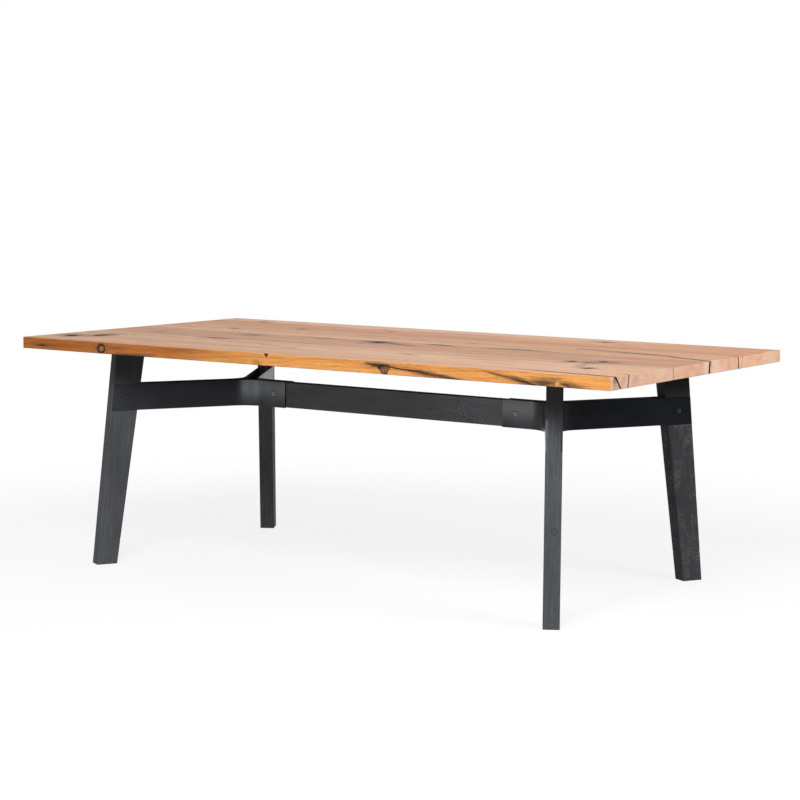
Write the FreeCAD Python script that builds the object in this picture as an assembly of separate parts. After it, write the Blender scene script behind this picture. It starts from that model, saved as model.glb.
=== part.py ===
import FreeCAD
import Part
import math
import os

# A long dining table: a plank top on four splayed legs. At each end three bent flat steel bars
# meet in a Y and clamp two legs and one end of a centre stretcher between them.
# The origin is on the floor under the middle of the top. X runs along the top, Z points up.
# All lengths are in millimetres.

# Overall sizes
table_height = 760.0
top_length = 2220.0
top_width = 1160.0
top_thickness = 38.0
top_edge_ease = 1.5

# Widths of the four boards of the top, from front to back, as shares of its width
board_names = ("front", "mid_front", "mid_back", "back")
board_width_shares = (0.335, 0.21, 0.177, 0.278)

# Y shaped ends: how far the middle of each Y lies inside the end of the top, and how far it opens
fork_end_setback = 510.0
fork_spread_degrees = 60.0

# Legs: places along an arm are measured from the middle of the Y
leg_thickness = 50.0
leg_top_width = 100.0
leg_foot_width = 70.0
leg_top_reach = 438.0
leg_foot_reach = 526.0
leg_edge_ease = 1.2
notch_clearance = 0.5

# Flat bars
bar_thickness = 6.0
bar_height = 89.0
bar_drop = 116.0
bar_bend_radius = 90.0
bar_stretcher_reach = 170.0

# Stretcher
stretcher_height = 86.0
stretcher_end_setback = 14.0
stretcher_edge_ease = 1.5

# Clamp bolts and their sleeve nuts
clamp_head_diameter = 15.0
clamp_head_thickness = 3.5
clamp_socket_flats = 5.0
clamp_socket_depth = 2.6
bolt_diameter = 6.0
bolt_tip_ease = 0.6
sleeve_diameter = 9.0
sleeve_length = 24.0
thread_engagement = 16.0
bolt_clearance = 0.2
head_clearance = 0.25
thread_clearance = 0.1
stretcher_bolt_inset = 49.0

# Plates that hold the legs to the top, let into its underside
plate_length = 190.0
plate_width = 42.0
plate_thickness = 6.0
plate_corner_radius = 8.0
let_in_clearance = 0.5
plate_top_screw_inset = 16.0
plate_leg_screw_spacing = 56.0

# Cross bars that keep the boards of the top flat, let into its underside
batten_names = ("left", "centre", "right")
batten_spacing = 440.0
batten_width = 50.0
batten_thickness = 8.0
batten_end_inset = 70.0
batten_corner_radius = 10.0
batten_screw_inset_share = 0.25

# Wood screws
screw_head_diameter = 10.0
screw_head_thickness = 3.0
screw_diameter = 5.0
screw_point_length = 5.0
screw_socket_flats = 3.0
screw_socket_depth = 1.6
top_screw_length = 30.0
leg_screw_length = 76.0
screw_clearance = 0.1

# One overrun serves all cuts
cut_overrun = 2.0

# Places worked out from the sizes above
fork_centre_x = top_length / 2 - fork_end_setback
underside_z = table_height - top_thickness
bar_top_z = underside_z - bar_drop
bar_bottom_z = bar_top_z - bar_height
bar_middle_z = (bar_top_z + bar_bottom_z) / 2
half_stack = leg_thickness / 2
half_core = half_stack - bar_thickness
half_spread = math.radians(fork_spread_degrees)
up = FreeCAD.Vector(0, 0, 1)


class Arm:
    """One arm of a Y: its leg is drawn with X outwards along the arm and is then set in place."""

    def __init__(self, name, end, side):
        self.name = name
        self.end = end
        self.side = side
        self.fork_sign = -end * side
        self.centre = FreeCAD.Vector(end * fork_centre_x, 0, 0)
        self.along = FreeCAD.Vector(end * math.cos(half_spread), side * math.sin(half_spread), 0)
        turn = math.degrees(math.atan2(self.along.y, self.along.x))
        self.placement = FreeCAD.Placement(self.centre, FreeCAD.Rotation(up, turn))

    def place(self, shape):
        placed = shape.copy()
        placed.Placement = self.placement.multiply(placed.Placement)
        return placed


arms = [
    Arm("front_left", -1, -1),
    Arm("front_right", 1, -1),
    Arm("back_left", -1, 1),
    Arm("back_right", 1, 1),
]


def prism(points, direction):
    """A straight solid from a closed outline of points, drawn out along a vector."""
    wire = Part.makePolygon(list(points) + [points[0]])
    return Part.Face(wire).extrude(direction)


def round_bar(radius, length, start, direction):
    return Part.makeCylinder(radius, length, start, direction)


def hex_socket(flats, depth, start, direction):
    """A hexagonal recess that starts at a point and runs along a direction."""
    turned = FreeCAD.Rotation(up, direction)
    corner_radius = flats / (2 * math.cos(math.pi / 6))
    points = []
    for index in range(6):
        angle = index * math.pi / 3
        flat = FreeCAD.Vector(corner_radius * math.cos(angle), corner_radius * math.sin(angle), 0)
        points.append(start + turned.multVec(flat))
    return prism(points, direction * depth)


def rounded_plate(x0, x1, half_width, z0, z1, corner_radius):
    plate = Part.makeBox(x1 - x0, 2 * half_width, z1 - z0, FreeCAD.Vector(x0, -half_width, z0))
    upright = [edge for edge in plate.Edges if abs(edge.tangentAt(edge.FirstParameter).z) > 0.5]
    return plate.makeFillet(corner_radius, upright)


def wood_screw(length, start, direction):
    """A pan head screw: the start point is under its head and the thread runs along the direction."""
    shank_length = length - screw_point_length
    head_start = start - direction * screw_head_thickness
    head = round_bar(screw_head_diameter / 2, screw_head_thickness, head_start, direction)
    shank = round_bar(screw_diameter / 2, shank_length, start, direction)
    point_start = start + direction * shank_length
    point = Part.makeCone(screw_diameter / 2, 0, screw_point_length, point_start, direction)
    socket = hex_socket(screw_socket_flats, screw_socket_depth, head_start, direction)
    return head.fuse([shank, point]).removeSplitter().cut(socket)


def screw_hole(length, start, direction):
    radius = screw_diameter / 2 + screw_clearance
    return round_bar(radius, length + screw_clearance, start, direction)


def clamp_bolt(middle, direction):
    """A flat head bolt through a stack whose middle is given; the direction is from head to tip."""
    start = middle - direction * half_stack
    shank_length = 2 * half_stack - 2 * clamp_head_thickness - sleeve_length + thread_engagement
    bolt_length = clamp_head_thickness + shank_length
    head = round_bar(clamp_head_diameter / 2, clamp_head_thickness, start, direction)
    shank = round_bar(bolt_diameter / 2, bolt_length - bolt_tip_ease, start, direction)
    tip_start = start + direction * (bolt_length - bolt_tip_ease)
    tip_radius = bolt_diameter / 2 - bolt_tip_ease
    tip = Part.makeCone(bolt_diameter / 2, tip_radius, bolt_tip_ease, tip_start, direction)
    socket = hex_socket(clamp_socket_flats, clamp_socket_depth, start, direction)
    return head.fuse([shank, tip]).removeSplitter().cut(socket)


def sleeve_nut(middle, direction):
    """The nut that a clamp bolt runs into, from the far side of the same stack."""
    start = middle + direction * half_stack
    inward = direction * -1
    head = round_bar(clamp_head_diameter / 2, clamp_head_thickness, start, inward)
    sleeve_end = clamp_head_thickness + sleeve_length
    sleeve = round_bar(sleeve_diameter / 2, sleeve_end, start, inward)
    bore_radius = bolt_diameter / 2 + thread_clearance
    bore_start = start + inward * (clamp_head_thickness + bolt_tip_ease)
    bore = round_bar(bore_radius, sleeve_length, bore_start, inward)
    socket = hex_socket(clamp_socket_flats, clamp_socket_depth, start, inward)
    return head.fuse(sleeve).removeSplitter().cut([bore, socket])


def clamp_hole(middle, direction):
    """What a bolt and its sleeve nut take out of the pieces that they pass through."""
    bolt_start = middle - direction * (half_stack + cut_overrun)
    nut_start = middle + direction * (half_stack + cut_overrun)
    inward = direction * -1
    seat_depth = clamp_head_thickness + cut_overrun
    seat_radius = clamp_head_diameter / 2 + head_clearance
    bolt_radius = bolt_diameter / 2 + bolt_clearance
    sleeve_radius = sleeve_diameter / 2 + bolt_clearance
    sleeve_depth = seat_depth + sleeve_length + bolt_clearance
    whole_depth = 2 * (half_stack + cut_overrun)
    return round_bar(seat_radius, seat_depth, bolt_start, direction).fuse([
        round_bar(bolt_radius, whole_depth, bolt_start, direction),
        round_bar(seat_radius, seat_depth, nut_start, inward),
        round_bar(sleeve_radius, sleeve_depth, nut_start, inward),
    ])


def leg_middle_reach(z):
    """How far out the middle line of a leg is at a height."""
    share = z / underside_z
    return leg_foot_reach + (leg_top_reach - leg_foot_reach) * share


def leg_outer_reach(z):
    """How far out the outer narrow face of a leg is at a height."""
    share = z / underside_z
    width = leg_foot_width + (leg_top_width - leg_foot_width) * share
    return leg_middle_reach(z) + width / 2


def leg_clamp(arm):
    """Middle and direction of the bolt at a leg, head outside and nut inside the fork."""
    side = FreeCAD.Vector(0, arm.fork_sign, 0)
    middle = FreeCAD.Vector(leg_middle_reach(bar_middle_z), 0, bar_middle_z)
    return arm.placement.multVec(middle), arm.placement.Rotation.multVec(side)


def stretcher_clamp(end):
    """Middle and direction of the bolt at one end of the stretcher, head at the front."""
    reach = fork_centre_x - bar_stretcher_reach + stretcher_bolt_inset
    return FreeCAD.Vector(end * reach, 0, bar_middle_z), FreeCAD.Vector(0, 1, 0)


clamps = [leg_clamp(arm) for arm in arms] + [stretcher_clamp(end) for end in (-1, 1)]
clamp_holes = [clamp_hole(*clamp) for clamp in clamps]


def plate_ends():
    return leg_top_reach - plate_length / 2, leg_top_reach + plate_length / 2


def top_screw_places():
    """Places along an arm of the two screws that go up through a leg plate into the top."""
    inner, outer = plate_ends()
    return inner + plate_top_screw_inset, outer - plate_top_screw_inset


def leg_screw_places():
    """Places along an arm of the two screws that go down through a leg plate into the leg."""
    half = plate_leg_screw_spacing / 2
    return leg_top_reach - half, leg_top_reach + half


def plate_top_screws(arm, make):
    return [arm.place(make(top_screw_length, FreeCAD.Vector(reach, 0, underside_z), up))
            for reach in top_screw_places()]


def plate_leg_screws(arm, make):
    seat_z = underside_z + plate_thickness - screw_head_thickness
    return [arm.place(make(leg_screw_length, FreeCAD.Vector(reach, 0, seat_z), up * -1))
            for reach in leg_screw_places()]


def leg(arm):
    foot_inner = leg_foot_reach - leg_foot_width / 2
    foot_outer = leg_foot_reach + leg_foot_width / 2
    top_inner = leg_top_reach - leg_top_width / 2
    top_outer = leg_top_reach + leg_top_width / 2
    outline = [
        FreeCAD.Vector(foot_inner, -half_stack, 0),
        FreeCAD.Vector(foot_outer, -half_stack, 0),
        FreeCAD.Vector(top_outer, -half_stack, underside_z),
        FreeCAD.Vector(top_inner, -half_stack, underside_z),
    ]
    body = prism(outline, FreeCAD.Vector(0, leg_thickness, 0))
    long_edges = [edge for edge in body.Edges if edge.BoundBox.ZLength > underside_z / 2]
    body = body.makeChamfer(leg_edge_ease, long_edges)
    notch_length = 2 * (leg_foot_reach + leg_foot_width)
    notch_height = bar_height + 2 * notch_clearance
    for side in (-1, 1):
        near = half_core if side > 0 else -half_stack - cut_overrun
        corner = FreeCAD.Vector(0, near, bar_bottom_z - notch_clearance)
        body = body.cut(Part.makeBox(notch_length, bar_thickness + cut_overrun, notch_height, corner))
    return arm.place(body).cut(clamp_holes + plate_leg_screws(arm, screw_hole))


def leg_plate(arm):
    inner, outer = plate_ends()
    plate = rounded_plate(inner, outer, plate_width / 2, underside_z, underside_z + plate_thickness,
                          plate_corner_radius)
    seat_z = underside_z + plate_thickness - screw_head_thickness
    seat_radius = screw_head_diameter / 2 + screw_clearance
    seats = [round_bar(seat_radius, screw_head_thickness, FreeCAD.Vector(reach, 0, seat_z), up)
             for reach in leg_screw_places()]
    holes = plate_top_screws(arm, screw_hole) + plate_leg_screws(arm, screw_hole)
    return arm.place(plate.cut(seats)).cut(holes)


def plate_recess(arm):
    inner, outer = plate_ends()
    recess = rounded_plate(inner - let_in_clearance, outer + let_in_clearance,
                           plate_width / 2 + let_in_clearance, underside_z - cut_overrun,
                           underside_z + plate_thickness, plate_corner_radius + let_in_clearance)
    return arm.place(recess)


def bar(centre, along_a, reach_a, along_b, reach_b):
    """A flat bar on edge that runs in along one arm of a Y, bends, and runs out along the next."""
    bisector = (along_a + along_b).normalize()
    half_angle = along_a.getAngle(bisector)
    bend_centre = centre + bisector * ((half_stack + bar_bend_radius) / math.sin(half_angle))

    def face_points(offset, radius, along, reach):
        inward = (bisector - along * bisector.dot(along)).normalize()
        start = centre + inward * offset
        tangent = offset / math.tan(half_angle) + radius / math.tan(half_angle)
        return start + along * reach, start + along * tangent

    end_a, bend_a = face_points(half_stack, bar_bend_radius, along_a, reach_a)
    end_b, bend_b = face_points(half_stack, bar_bend_radius, along_b, reach_b)
    back_radius = bar_bend_radius + bar_thickness
    back_end_a, back_bend_a = face_points(half_core, back_radius, along_a, reach_a)
    back_end_b, back_bend_b = face_points(half_core, back_radius, along_b, reach_b)
    outline = Part.Wire([
        Part.LineSegment(end_a, bend_a).toShape(),
        Part.Arc(bend_a, bend_centre - bisector * bar_bend_radius, bend_b).toShape(),
        Part.LineSegment(bend_b, end_b).toShape(),
        Part.LineSegment(end_b, back_end_b).toShape(),
        Part.LineSegment(back_end_b, back_bend_b).toShape(),
        Part.Arc(back_bend_b, bend_centre - bisector * back_radius, back_bend_a).toShape(),
        Part.LineSegment(back_bend_a, back_end_a).toShape(),
        Part.LineSegment(back_end_a, end_a).toShape(),
    ])
    solid = Part.Face(outline).extrude(up * bar_height)
    solid.translate(up * bar_bottom_z)
    return solid


def beyond_leg(arm):
    """All the room past the outer face of a leg at the height of the bars."""
    low_z = bar_bottom_z - cut_overrun
    high_z = bar_top_z + cut_overrun
    far = leg_outer_reach(low_z) + leg_foot_width
    outline = [
        FreeCAD.Vector(leg_outer_reach(low_z), -leg_thickness, low_z),
        FreeCAD.Vector(far, -leg_thickness, low_z),
        FreeCAD.Vector(far, -leg_thickness, high_z),
        FreeCAD.Vector(leg_outer_reach(high_z), -leg_thickness, high_z),
    ]
    return arm.place(prism(outline, FreeCAD.Vector(0, 2 * leg_thickness, 0)))


leg_bar_reach = leg_outer_reach(bar_bottom_z) + cut_overrun


def outer_bar(arm):
    inwards = FreeCAD.Vector(-arm.end, 0, 0)
    blank = bar(arm.centre, arm.along, leg_bar_reach, inwards, bar_stretcher_reach)
    return blank.cut([beyond_leg(arm)] + clamp_holes)


def fork_bar(front_arm, back_arm):
    blank = bar(front_arm.centre, front_arm.along, leg_bar_reach, back_arm.along, leg_bar_reach)
    return blank.cut([beyond_leg(front_arm), beyond_leg(back_arm)] + clamp_holes)


def stretcher():
    half_length = fork_centre_x - stretcher_end_setback
    corner = FreeCAD.Vector(-half_length, -half_core, bar_middle_z - stretcher_height / 2)
    beam = Part.makeBox(2 * half_length, 2 * half_core, stretcher_height, corner)
    long_edges = [edge for edge in beam.Edges if edge.BoundBox.XLength > half_length]
    return beam.makeChamfer(stretcher_edge_ease, long_edges).cut(clamp_holes)


def board_edges():
    """Front and back edge of each board, from front to back."""
    edges = []
    start = -top_width / 2
    for share in board_width_shares:
        edges.append((start, start + share * top_width))
        start += share * top_width
    return edges


def batten_x(index):
    return (index - (len(batten_names) - 1) / 2) * batten_spacing


def batten_body(x, room, low_z):
    """A cross bar, or with some room round it the recess that it lies in."""
    half_length = top_width / 2 - batten_end_inset + room
    body = rounded_plate(-half_length, half_length, batten_width / 2 + room, low_z,
                         underside_z + batten_thickness, batten_corner_radius + room)
    body.rotate(FreeCAD.Vector(0, 0, 0), up, 90)
    body.translate(FreeCAD.Vector(x, 0, 0))
    return body


def batten_screws(x, make):
    """Two screws through a cross bar into each board, within the length of the bar."""
    reach = top_width / 2 - batten_end_inset
    made = []
    for front, back in board_edges():
        near = max(front, -reach)
        far = min(back, reach)
        inset = (far - near) * batten_screw_inset_share
        for y in (near + inset, far - inset):
            made.append(make(top_screw_length, FreeCAD.Vector(x, y, underside_z), up))
    return made


def batten(x):
    return batten_body(x, 0, underside_z).cut(batten_screws(x, screw_hole))


def top_boards():
    corner = FreeCAD.Vector(-top_length / 2, -top_width / 2, underside_z)
    blank = Part.makeBox(top_length, top_width, top_thickness, corner)
    blank = blank.makeChamfer(top_edge_ease, blank.Edges)
    cuts = [plate_recess(arm) for arm in arms]
    for arm in arms:
        cuts += plate_top_screws(arm, screw_hole)
    for index in range(len(batten_names)):
        x = batten_x(index)
        cuts.append(batten_body(x, let_in_clearance, underside_z - cut_overrun))
        cuts += batten_screws(x, screw_hole)
    boards = []
    for front, back in board_edges():
        slab_corner = FreeCAD.Vector(-top_length / 2, front, underside_z)
        slab = Part.makeBox(top_length, back - front, top_thickness, slab_corner)
        boards.append(blank.common(slab).cut(cuts))
    return boards


def export(shape, name):
    shape.exportStep("parts/" + name + ".step")
    print(name, "solids", len(shape.Solids), "valid", shape.isValid())


def export_group(shapes, name):
    export(Part.makeCompound(shapes), name)


os.makedirs("parts", exist_ok=True)

for name, board in zip(board_names, top_boards()):
    export(board, "top_board_" + name)

all_batten_screws = []
for index, name in enumerate(batten_names):
    export(batten(batten_x(index)), "top_batten_" + name)
    all_batten_screws += batten_screws(batten_x(index), wood_screw)
export_group(all_batten_screws, "batten_screws")

top_screws = []
leg_screws = []
for arm in arms:
    export(leg(arm), "leg_" + arm.name)
    export(leg_plate(arm), "leg_plate_" + arm.name)
    export(outer_bar(arm), "outer_bar_" + arm.name)
    top_screws += plate_top_screws(arm, wood_screw)
    leg_screws += plate_leg_screws(arm, wood_screw)
export_group(top_screws, "plate_to_top_screws")
export_group(leg_screws, "plate_to_leg_screws")

export(fork_bar(arms[0], arms[2]), "fork_bar_left")
export(fork_bar(arms[1], arms[3]), "fork_bar_right")
export(stretcher(), "stretcher")
export_group([clamp_bolt(*clamp) for clamp in clamps], "clamp_bolts")
export_group([sleeve_nut(*clamp) for clamp in clamps], "clamp_sleeve_nuts")
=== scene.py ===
"""Looks of a plank-top dining table with a black clamped base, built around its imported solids."""

import logging
import math
import random
from collections.abc import Callable, Iterable
from dataclasses import dataclass, field, replace
from enum import Enum

import bmesh
import bpy
from mathutils import Matrix, Vector


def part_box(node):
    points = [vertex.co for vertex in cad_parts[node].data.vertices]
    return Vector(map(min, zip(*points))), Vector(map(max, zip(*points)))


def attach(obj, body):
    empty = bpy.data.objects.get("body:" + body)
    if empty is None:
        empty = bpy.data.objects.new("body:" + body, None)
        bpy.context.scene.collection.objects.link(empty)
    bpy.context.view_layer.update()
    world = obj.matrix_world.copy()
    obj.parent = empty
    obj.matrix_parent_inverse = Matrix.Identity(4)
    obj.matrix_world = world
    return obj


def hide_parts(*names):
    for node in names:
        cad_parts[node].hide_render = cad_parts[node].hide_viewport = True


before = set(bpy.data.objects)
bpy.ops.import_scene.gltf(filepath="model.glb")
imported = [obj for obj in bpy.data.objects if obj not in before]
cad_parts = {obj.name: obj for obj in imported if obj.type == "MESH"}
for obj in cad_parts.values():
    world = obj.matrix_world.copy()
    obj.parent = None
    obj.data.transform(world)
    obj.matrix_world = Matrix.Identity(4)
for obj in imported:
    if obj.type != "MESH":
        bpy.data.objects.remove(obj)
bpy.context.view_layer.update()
LOG = logging.getLogger("table")
BODY = "root"

Pair = tuple[float, float]
Triple = tuple[float, float, float]
Colour = tuple[float, float, float, float]
Stops = list[tuple[float, Colour]]
Inputs = dict[int | str, object]
Node = bpy.types.Node
Socket = bpy.types.NodeSocket
Material = bpy.types.Material
Piece = bpy.types.Object
WorkMesh = bmesh.types.BMesh
Ring = list[bmesh.types.BMVert]

ORIGIN: Triple = (0.0, 0.0, 0.0)
UP: Triple = (0.0, 0.0, 1.0)
FRONT: Triple = (0.0, -1.0, 0.0)
RIGHT: Triple = (1.0, 0.0, 0.0)
LEFT: Triple = (-1.0, 0.0, 0.0)
EVEN: Pair = (1.0, 1.0)
WELD_DISTANCE = 1e-6
BEVEL_ANGLE = math.radians(35.0)
KNOT_CORNERS = 9


def grey(value: float) -> Colour:
    """Returns an opaque grey of one value."""
    return (value, value, value, 1.0)


def tone(red: float, green: float, blue: float) -> Colour:
    """Returns an opaque colour."""
    return (red, green, blue, 1.0)


def shade(colour: Colour, factor: float) -> Colour:
    """Returns a colour made lighter or darker."""
    return tone(*(part * factor for part in colour[:3]))


def greys(*stops: Pair) -> Stops:
    """Returns the stops of a grey ramp from places and values."""
    return [(place, grey(value)) for place, value in stops]


def even(scale: float) -> Triple:
    """Returns the same scale for all three axes."""
    return (scale, scale, scale)


def around(count: int) -> list[Pair]:
    """Returns the corners of a circle of radius one."""
    turns = [2 * math.pi * index / count for index in range(count)]
    return [(math.cos(turn), math.sin(turn)) for turn in turns]


def each(make: Callable[..., object], rows: Iterable[tuple]) -> tuple:
    """Makes one thing from each row of values."""
    return tuple(make(*row) for row in rows)


class Axis(Enum):
    """The direction in which the fibres of a piece of wood run."""

    X = 0
    Z = 2

    def stretch(self, along: float, across: float) -> Triple:
        """Returns the texture scale for each axis from those along and across the fibres."""
        return tuple(along if axis == self.value else across for axis in range(3))


class Shine(Enum):
    """What a lamp does: lights and shows in glossy surfaces, or only one of the two."""

    FULL = "full"
    SHEEN = "sheen"
    LIGHT = "light"


class Mark(Enum):
    """What a mark does to the wood around it."""

    KNOT = "knot"
    STREAK = "streak"
    STAIN = "stain"
    SCORCH = "scorch"
    SAPWOOD = "sapwood"


KNOT, STREAK, STAIN, SCORCH, SAPWOOD = Mark

# Where each effect of a mark starts and where it is full, in half sizes from the mark's middle.
DARK_WOOD = (("core", 0.95, 0.55), ("halo", 2.0, 0.6))
MARK_EFFECTS = {
    KNOT: DARK_WOOD,
    STREAK: DARK_WOOD,
    STAIN: (("stain", 1.3, 0.2),),
    SCORCH: (("scorch", 1.3, 0.3),),
    SAPWOOD: (("pale", 1.2, 0.5),),
}
# How much of its paint each effect lays over the wood, in this order.
EFFECT_PAINTS = (
    ("pore", 0.6, tone(0.13, 0.06, 0.026)),
    ("pale", 0.55, tone(0.78, 0.60, 0.44)),
    ("stain", 0.75, tone(0.15, 0.12, 0.125)),
    ("scorch", 0.85, tone(0.13, 0.055, 0.020)),
    ("halo", 0.6, tone(0.20, 0.085, 0.032)),
)
CORE_SHARE = 0.94
TOP_HEART = tone(0.024, 0.016, 0.016)
EDGE_HEART = tone(0.042, 0.018, 0.006)
EARLY_WOOD = tone(0.78, 0.70, 0.63)
BROWNED_EDGE = tone(0.62, 0.47, 0.27)
BLACK_STAIN = (
    (0.26, tone(0.038, 0.040, 0.045)),
    (0.50, tone(0.055, 0.058, 0.065)),
    (0.80, tone(0.076, 0.080, 0.089)),
)


class Graph:
    """A small writer of shader nodes for a material or a world."""

    def __init__(self, owner: Material | bpy.types.World) -> None:
        """Starts with no nodes.

        Args:
            owner: what the nodes belong to.
        """
        owner.use_nodes = True
        self.owner = owner
        self.tree = owner.node_tree
        self.tree.nodes.clear()

    def node(self, kind: str, inputs: Inputs | None = None, **settings: object) -> Node:
        """Adds a node.

        Args:
            kind: the node's type name without its prefix.
            inputs: a socket or a constant for each input, by its place or name.
            settings: attributes to set on it.

        Returns:
            The new node.
        """
        made = self.tree.nodes.new("ShaderNode" + kind)
        for key, value in settings.items():
            setattr(made, key, value)
        for key, value in (inputs or {}).items():
            if isinstance(value, Socket):
                self.tree.links.new(value, made.inputs[key])
            else:
                made.inputs[key].default_value = value
        return made

    def place(self) -> Socket:
        """Returns the place of a point in its object's own space, in metres."""
        return self.node("TexCoord").outputs["Object"]

    def split(self, vector: Socket) -> tuple[Socket, Socket, Socket]:
        """Returns the three parts of a vector."""
        return tuple(self.node("SeparateXYZ", {0: vector}).outputs)

    def facing(self) -> tuple[Socket, Socket, Socket]:
        """Returns the three parts of the surface's normal in its object's own space."""
        return self.split(self.node("TexCoord").outputs["Normal"])

    def maths(self, operation: str, first: object, second: object = 0.0, third: object = 0.0) -> Socket:
        """Returns the result of an operation on sockets or numbers."""
        return self.node("Math", {0: first, 1: second, 2: third}, operation=operation).outputs[0]

    def times(self, first: object, second: object, plus: object = None) -> Socket:
        """Returns a product, with a third number added to it if there is one."""
        operation, third = ("MULTIPLY", 0.0) if plus is None else ("MULTIPLY_ADD", plus)
        return self.maths(operation, first, second, third)

    def less(self, first: object, second: object) -> Socket:
        """Returns the difference of two numbers."""
        return self.maths("SUBTRACT", first, second)

    def most(self, first: object, second: object) -> Socket:
        """Returns the larger of two numbers."""
        return self.maths("MAXIMUM", first, second)

    def vector(self, operation: str, first: object, second: object) -> Socket:
        """Returns the result of an operation on two vectors."""
        return self.node("VectorMath", {0: first, 1: second}, operation=operation).outputs[0]

    def length(self, vector: Socket) -> Socket:
        """Returns the length of a vector."""
        return self.node("VectorMath", {0: vector}, operation="LENGTH").outputs["Value"]

    def scaled(self, place: Socket, scale: Triple, shift: Triple) -> Socket:
        """Returns a place that is stretched along each axis and then shifted."""
        inputs = {"Vector": place, "Scale": scale, "Location": shift}
        return self.node("Mapping", inputs, vector_type="POINT").outputs[0]

    def local(self, place: Socket, centre: Triple, turn: Triple, size: Triple) -> Socket:
        """Returns a place measured from the middle of a turned ellipsoid, in its half sizes."""
        inputs = {"Vector": place, "Location": centre, "Rotation": turn, "Scale": size}
        return self.node("Mapping", inputs, vector_type="TEXTURE").outputs[0]

    def within(self, place: Socket, centre: Triple, radius: float) -> Socket:
        """Returns zero at the middle of a ball and one at its skin."""
        return self.length(self.local(place, centre, ORIGIN, even(radius)))

    def noise(self, place: Socket, scale: Triple, shift: Triple, detail: float, rough: float) -> Node:
        """Adds a noise texture with a scale for each axis and returns its node."""
        spot = self.scaled(place, scale, shift)
        return self.node("TexNoise", {"Vector": spot, "Scale": 1.0, "Detail": detail, "Roughness": rough})

    def uneven(self, place: Socket, scale: Triple, shift: Triple = ORIGIN, detail: float = 2.0,
               rough: float = 0.5) -> Socket:
        """Returns an uneven number from zero to one, with a scale for each axis."""
        return self.noise(place, scale, shift, detail, rough).outputs[0]

    def wander(self, place: Socket, scale: Triple, shift: Triple, reach: Triple) -> Socket:
        """Returns a place that is pushed about unevenly, as far along each axis as its reach."""
        push = self.vector("SUBTRACT", self.noise(place, scale, shift, 2.0, 0.5).outputs[1], even(0.5))
        return self.vector("ADD", place, self.vector("MULTIPLY", push, reach))

    def ramp(self, value: Socket, stops: Stops) -> Socket:
        """Turns a number into a colour.

        Args:
            value: the number.
            stops: place and colour of each stop, in order.

        Returns:
            The colour.
        """
        made = self.node("ValToRGB", {0: value})
        elements = made.color_ramp.elements
        for index in (0, -1):
            elements[index].position, elements[index].color = stops[index]
        for position, colour in stops[1:-1]:
            elements.new(position).color = colour
        return made.outputs[0]

    def spread(self, value: Socket, low: float, high: float, to_low: float = 0.0,
               to_high: float = 1.0) -> Socket:
        """Returns a number mapped smoothly from one range to another and held there."""
        inputs = dict(enumerate((value, low, high, to_low, to_high)))
        return self.node("MapRange", inputs, interpolation_type="SMOOTHSTEP").outputs[0]

    def blend(self, share: object, first: object, second: object, kind: str = "MIX") -> Socket:
        """Returns a mix of two colours with a share of the second one."""
        inputs = {0: share, 6: first, 7: second}
        return self.node("Mix", inputs, data_type="RGBA", blend_type=kind).outputs[2]

    def tint(self, colour: Socket, share: object, amount: float, paint: Colour) -> Socket:
        """Returns a colour with an amount of paint over it where there is a share of something."""
        return self.blend(self.times(share, amount), colour, paint)

    def relief(self, height: Socket, depth: float, strength: float, under: Socket | None = None) -> Socket:
        """Returns the normal of a bump of a depth in metres, on top of another bump if there is one."""
        inputs = {"Height": height, "Distance": depth, "Strength": strength}
        return self.node("Bump", inputs if under is None else inputs | {"Normal": under}).outputs[0]

    def shaded_upward(self, colour: Socket, rough: Socket, amount: float, paint: Colour) -> tuple[Socket, Socket]:
        """Returns a colour that turns darker and a roughness that turns matt on faces that look up; the
        darkening is painted shade.
        """
        # Painted shade: faces that look up are darkened towards the paint, for the shadow that they lie in
        # under the table top.
        upward = self.spread(self.facing()[2], 0.4, 0.8)
        return self.tint(colour, upward, amount, paint), self.most(rough, upward)

    def layered(self, share: Socket, first: Node, second: Node) -> Node:
        """Returns a mix of two shaders with a share of the second one."""
        return self.node("MixShader", {0: share, 1: first.outputs[0], 2: second.outputs[0]})

    def surface(self, colour: Socket, rough: object, normal: Socket, gloss: float = 0.5,
                metal: float = 0.0) -> Material:
        """Closes the graph with a shader.

        Args:
            colour: base colour.
            rough: roughness.
            normal: bumped normal.
            gloss: how strongly it mirrors.
            metal: one for bare metal.

        Returns:
            The finished material.
        """
        shader = self.node("BsdfPrincipled", {
            "Base Color": colour, "Roughness": rough, "Normal": normal,
            "Specular IOR Level": gloss, "Metallic": metal,
        })
        self.node("OutputMaterial", {"Surface": shader.outputs[0]})
        return self.owner


@dataclass(frozen=True)
class Finish:
    """A finish, which is written as a material of its own name."""

    name: str

    def graph(self) -> Graph:
        """Starts the material."""
        return Graph(bpy.data.materials.new(self.name))


@dataclass(frozen=True)
class Blemish:
    """A mark in a board: its middle and half sizes in metres, its turn and its strength."""

    mark: Mark
    centre: Triple
    size: Triple
    turn_y: float = 0.0
    turn_z: float = 0.0
    strength: float = 1.0


@dataclass(frozen=True)
class OakTones:
    """Dark, middle and light tone of one cut of oak."""

    dark: Colour
    middle: Colour
    light: Colour

    def ramp(self, graph: Graph, value: Socket) -> Socket:
        """Returns the tone for a streak value."""
        return graph.ramp(value, [(0.30, self.dark), (0.50, self.middle), (0.70, self.light)])


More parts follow.
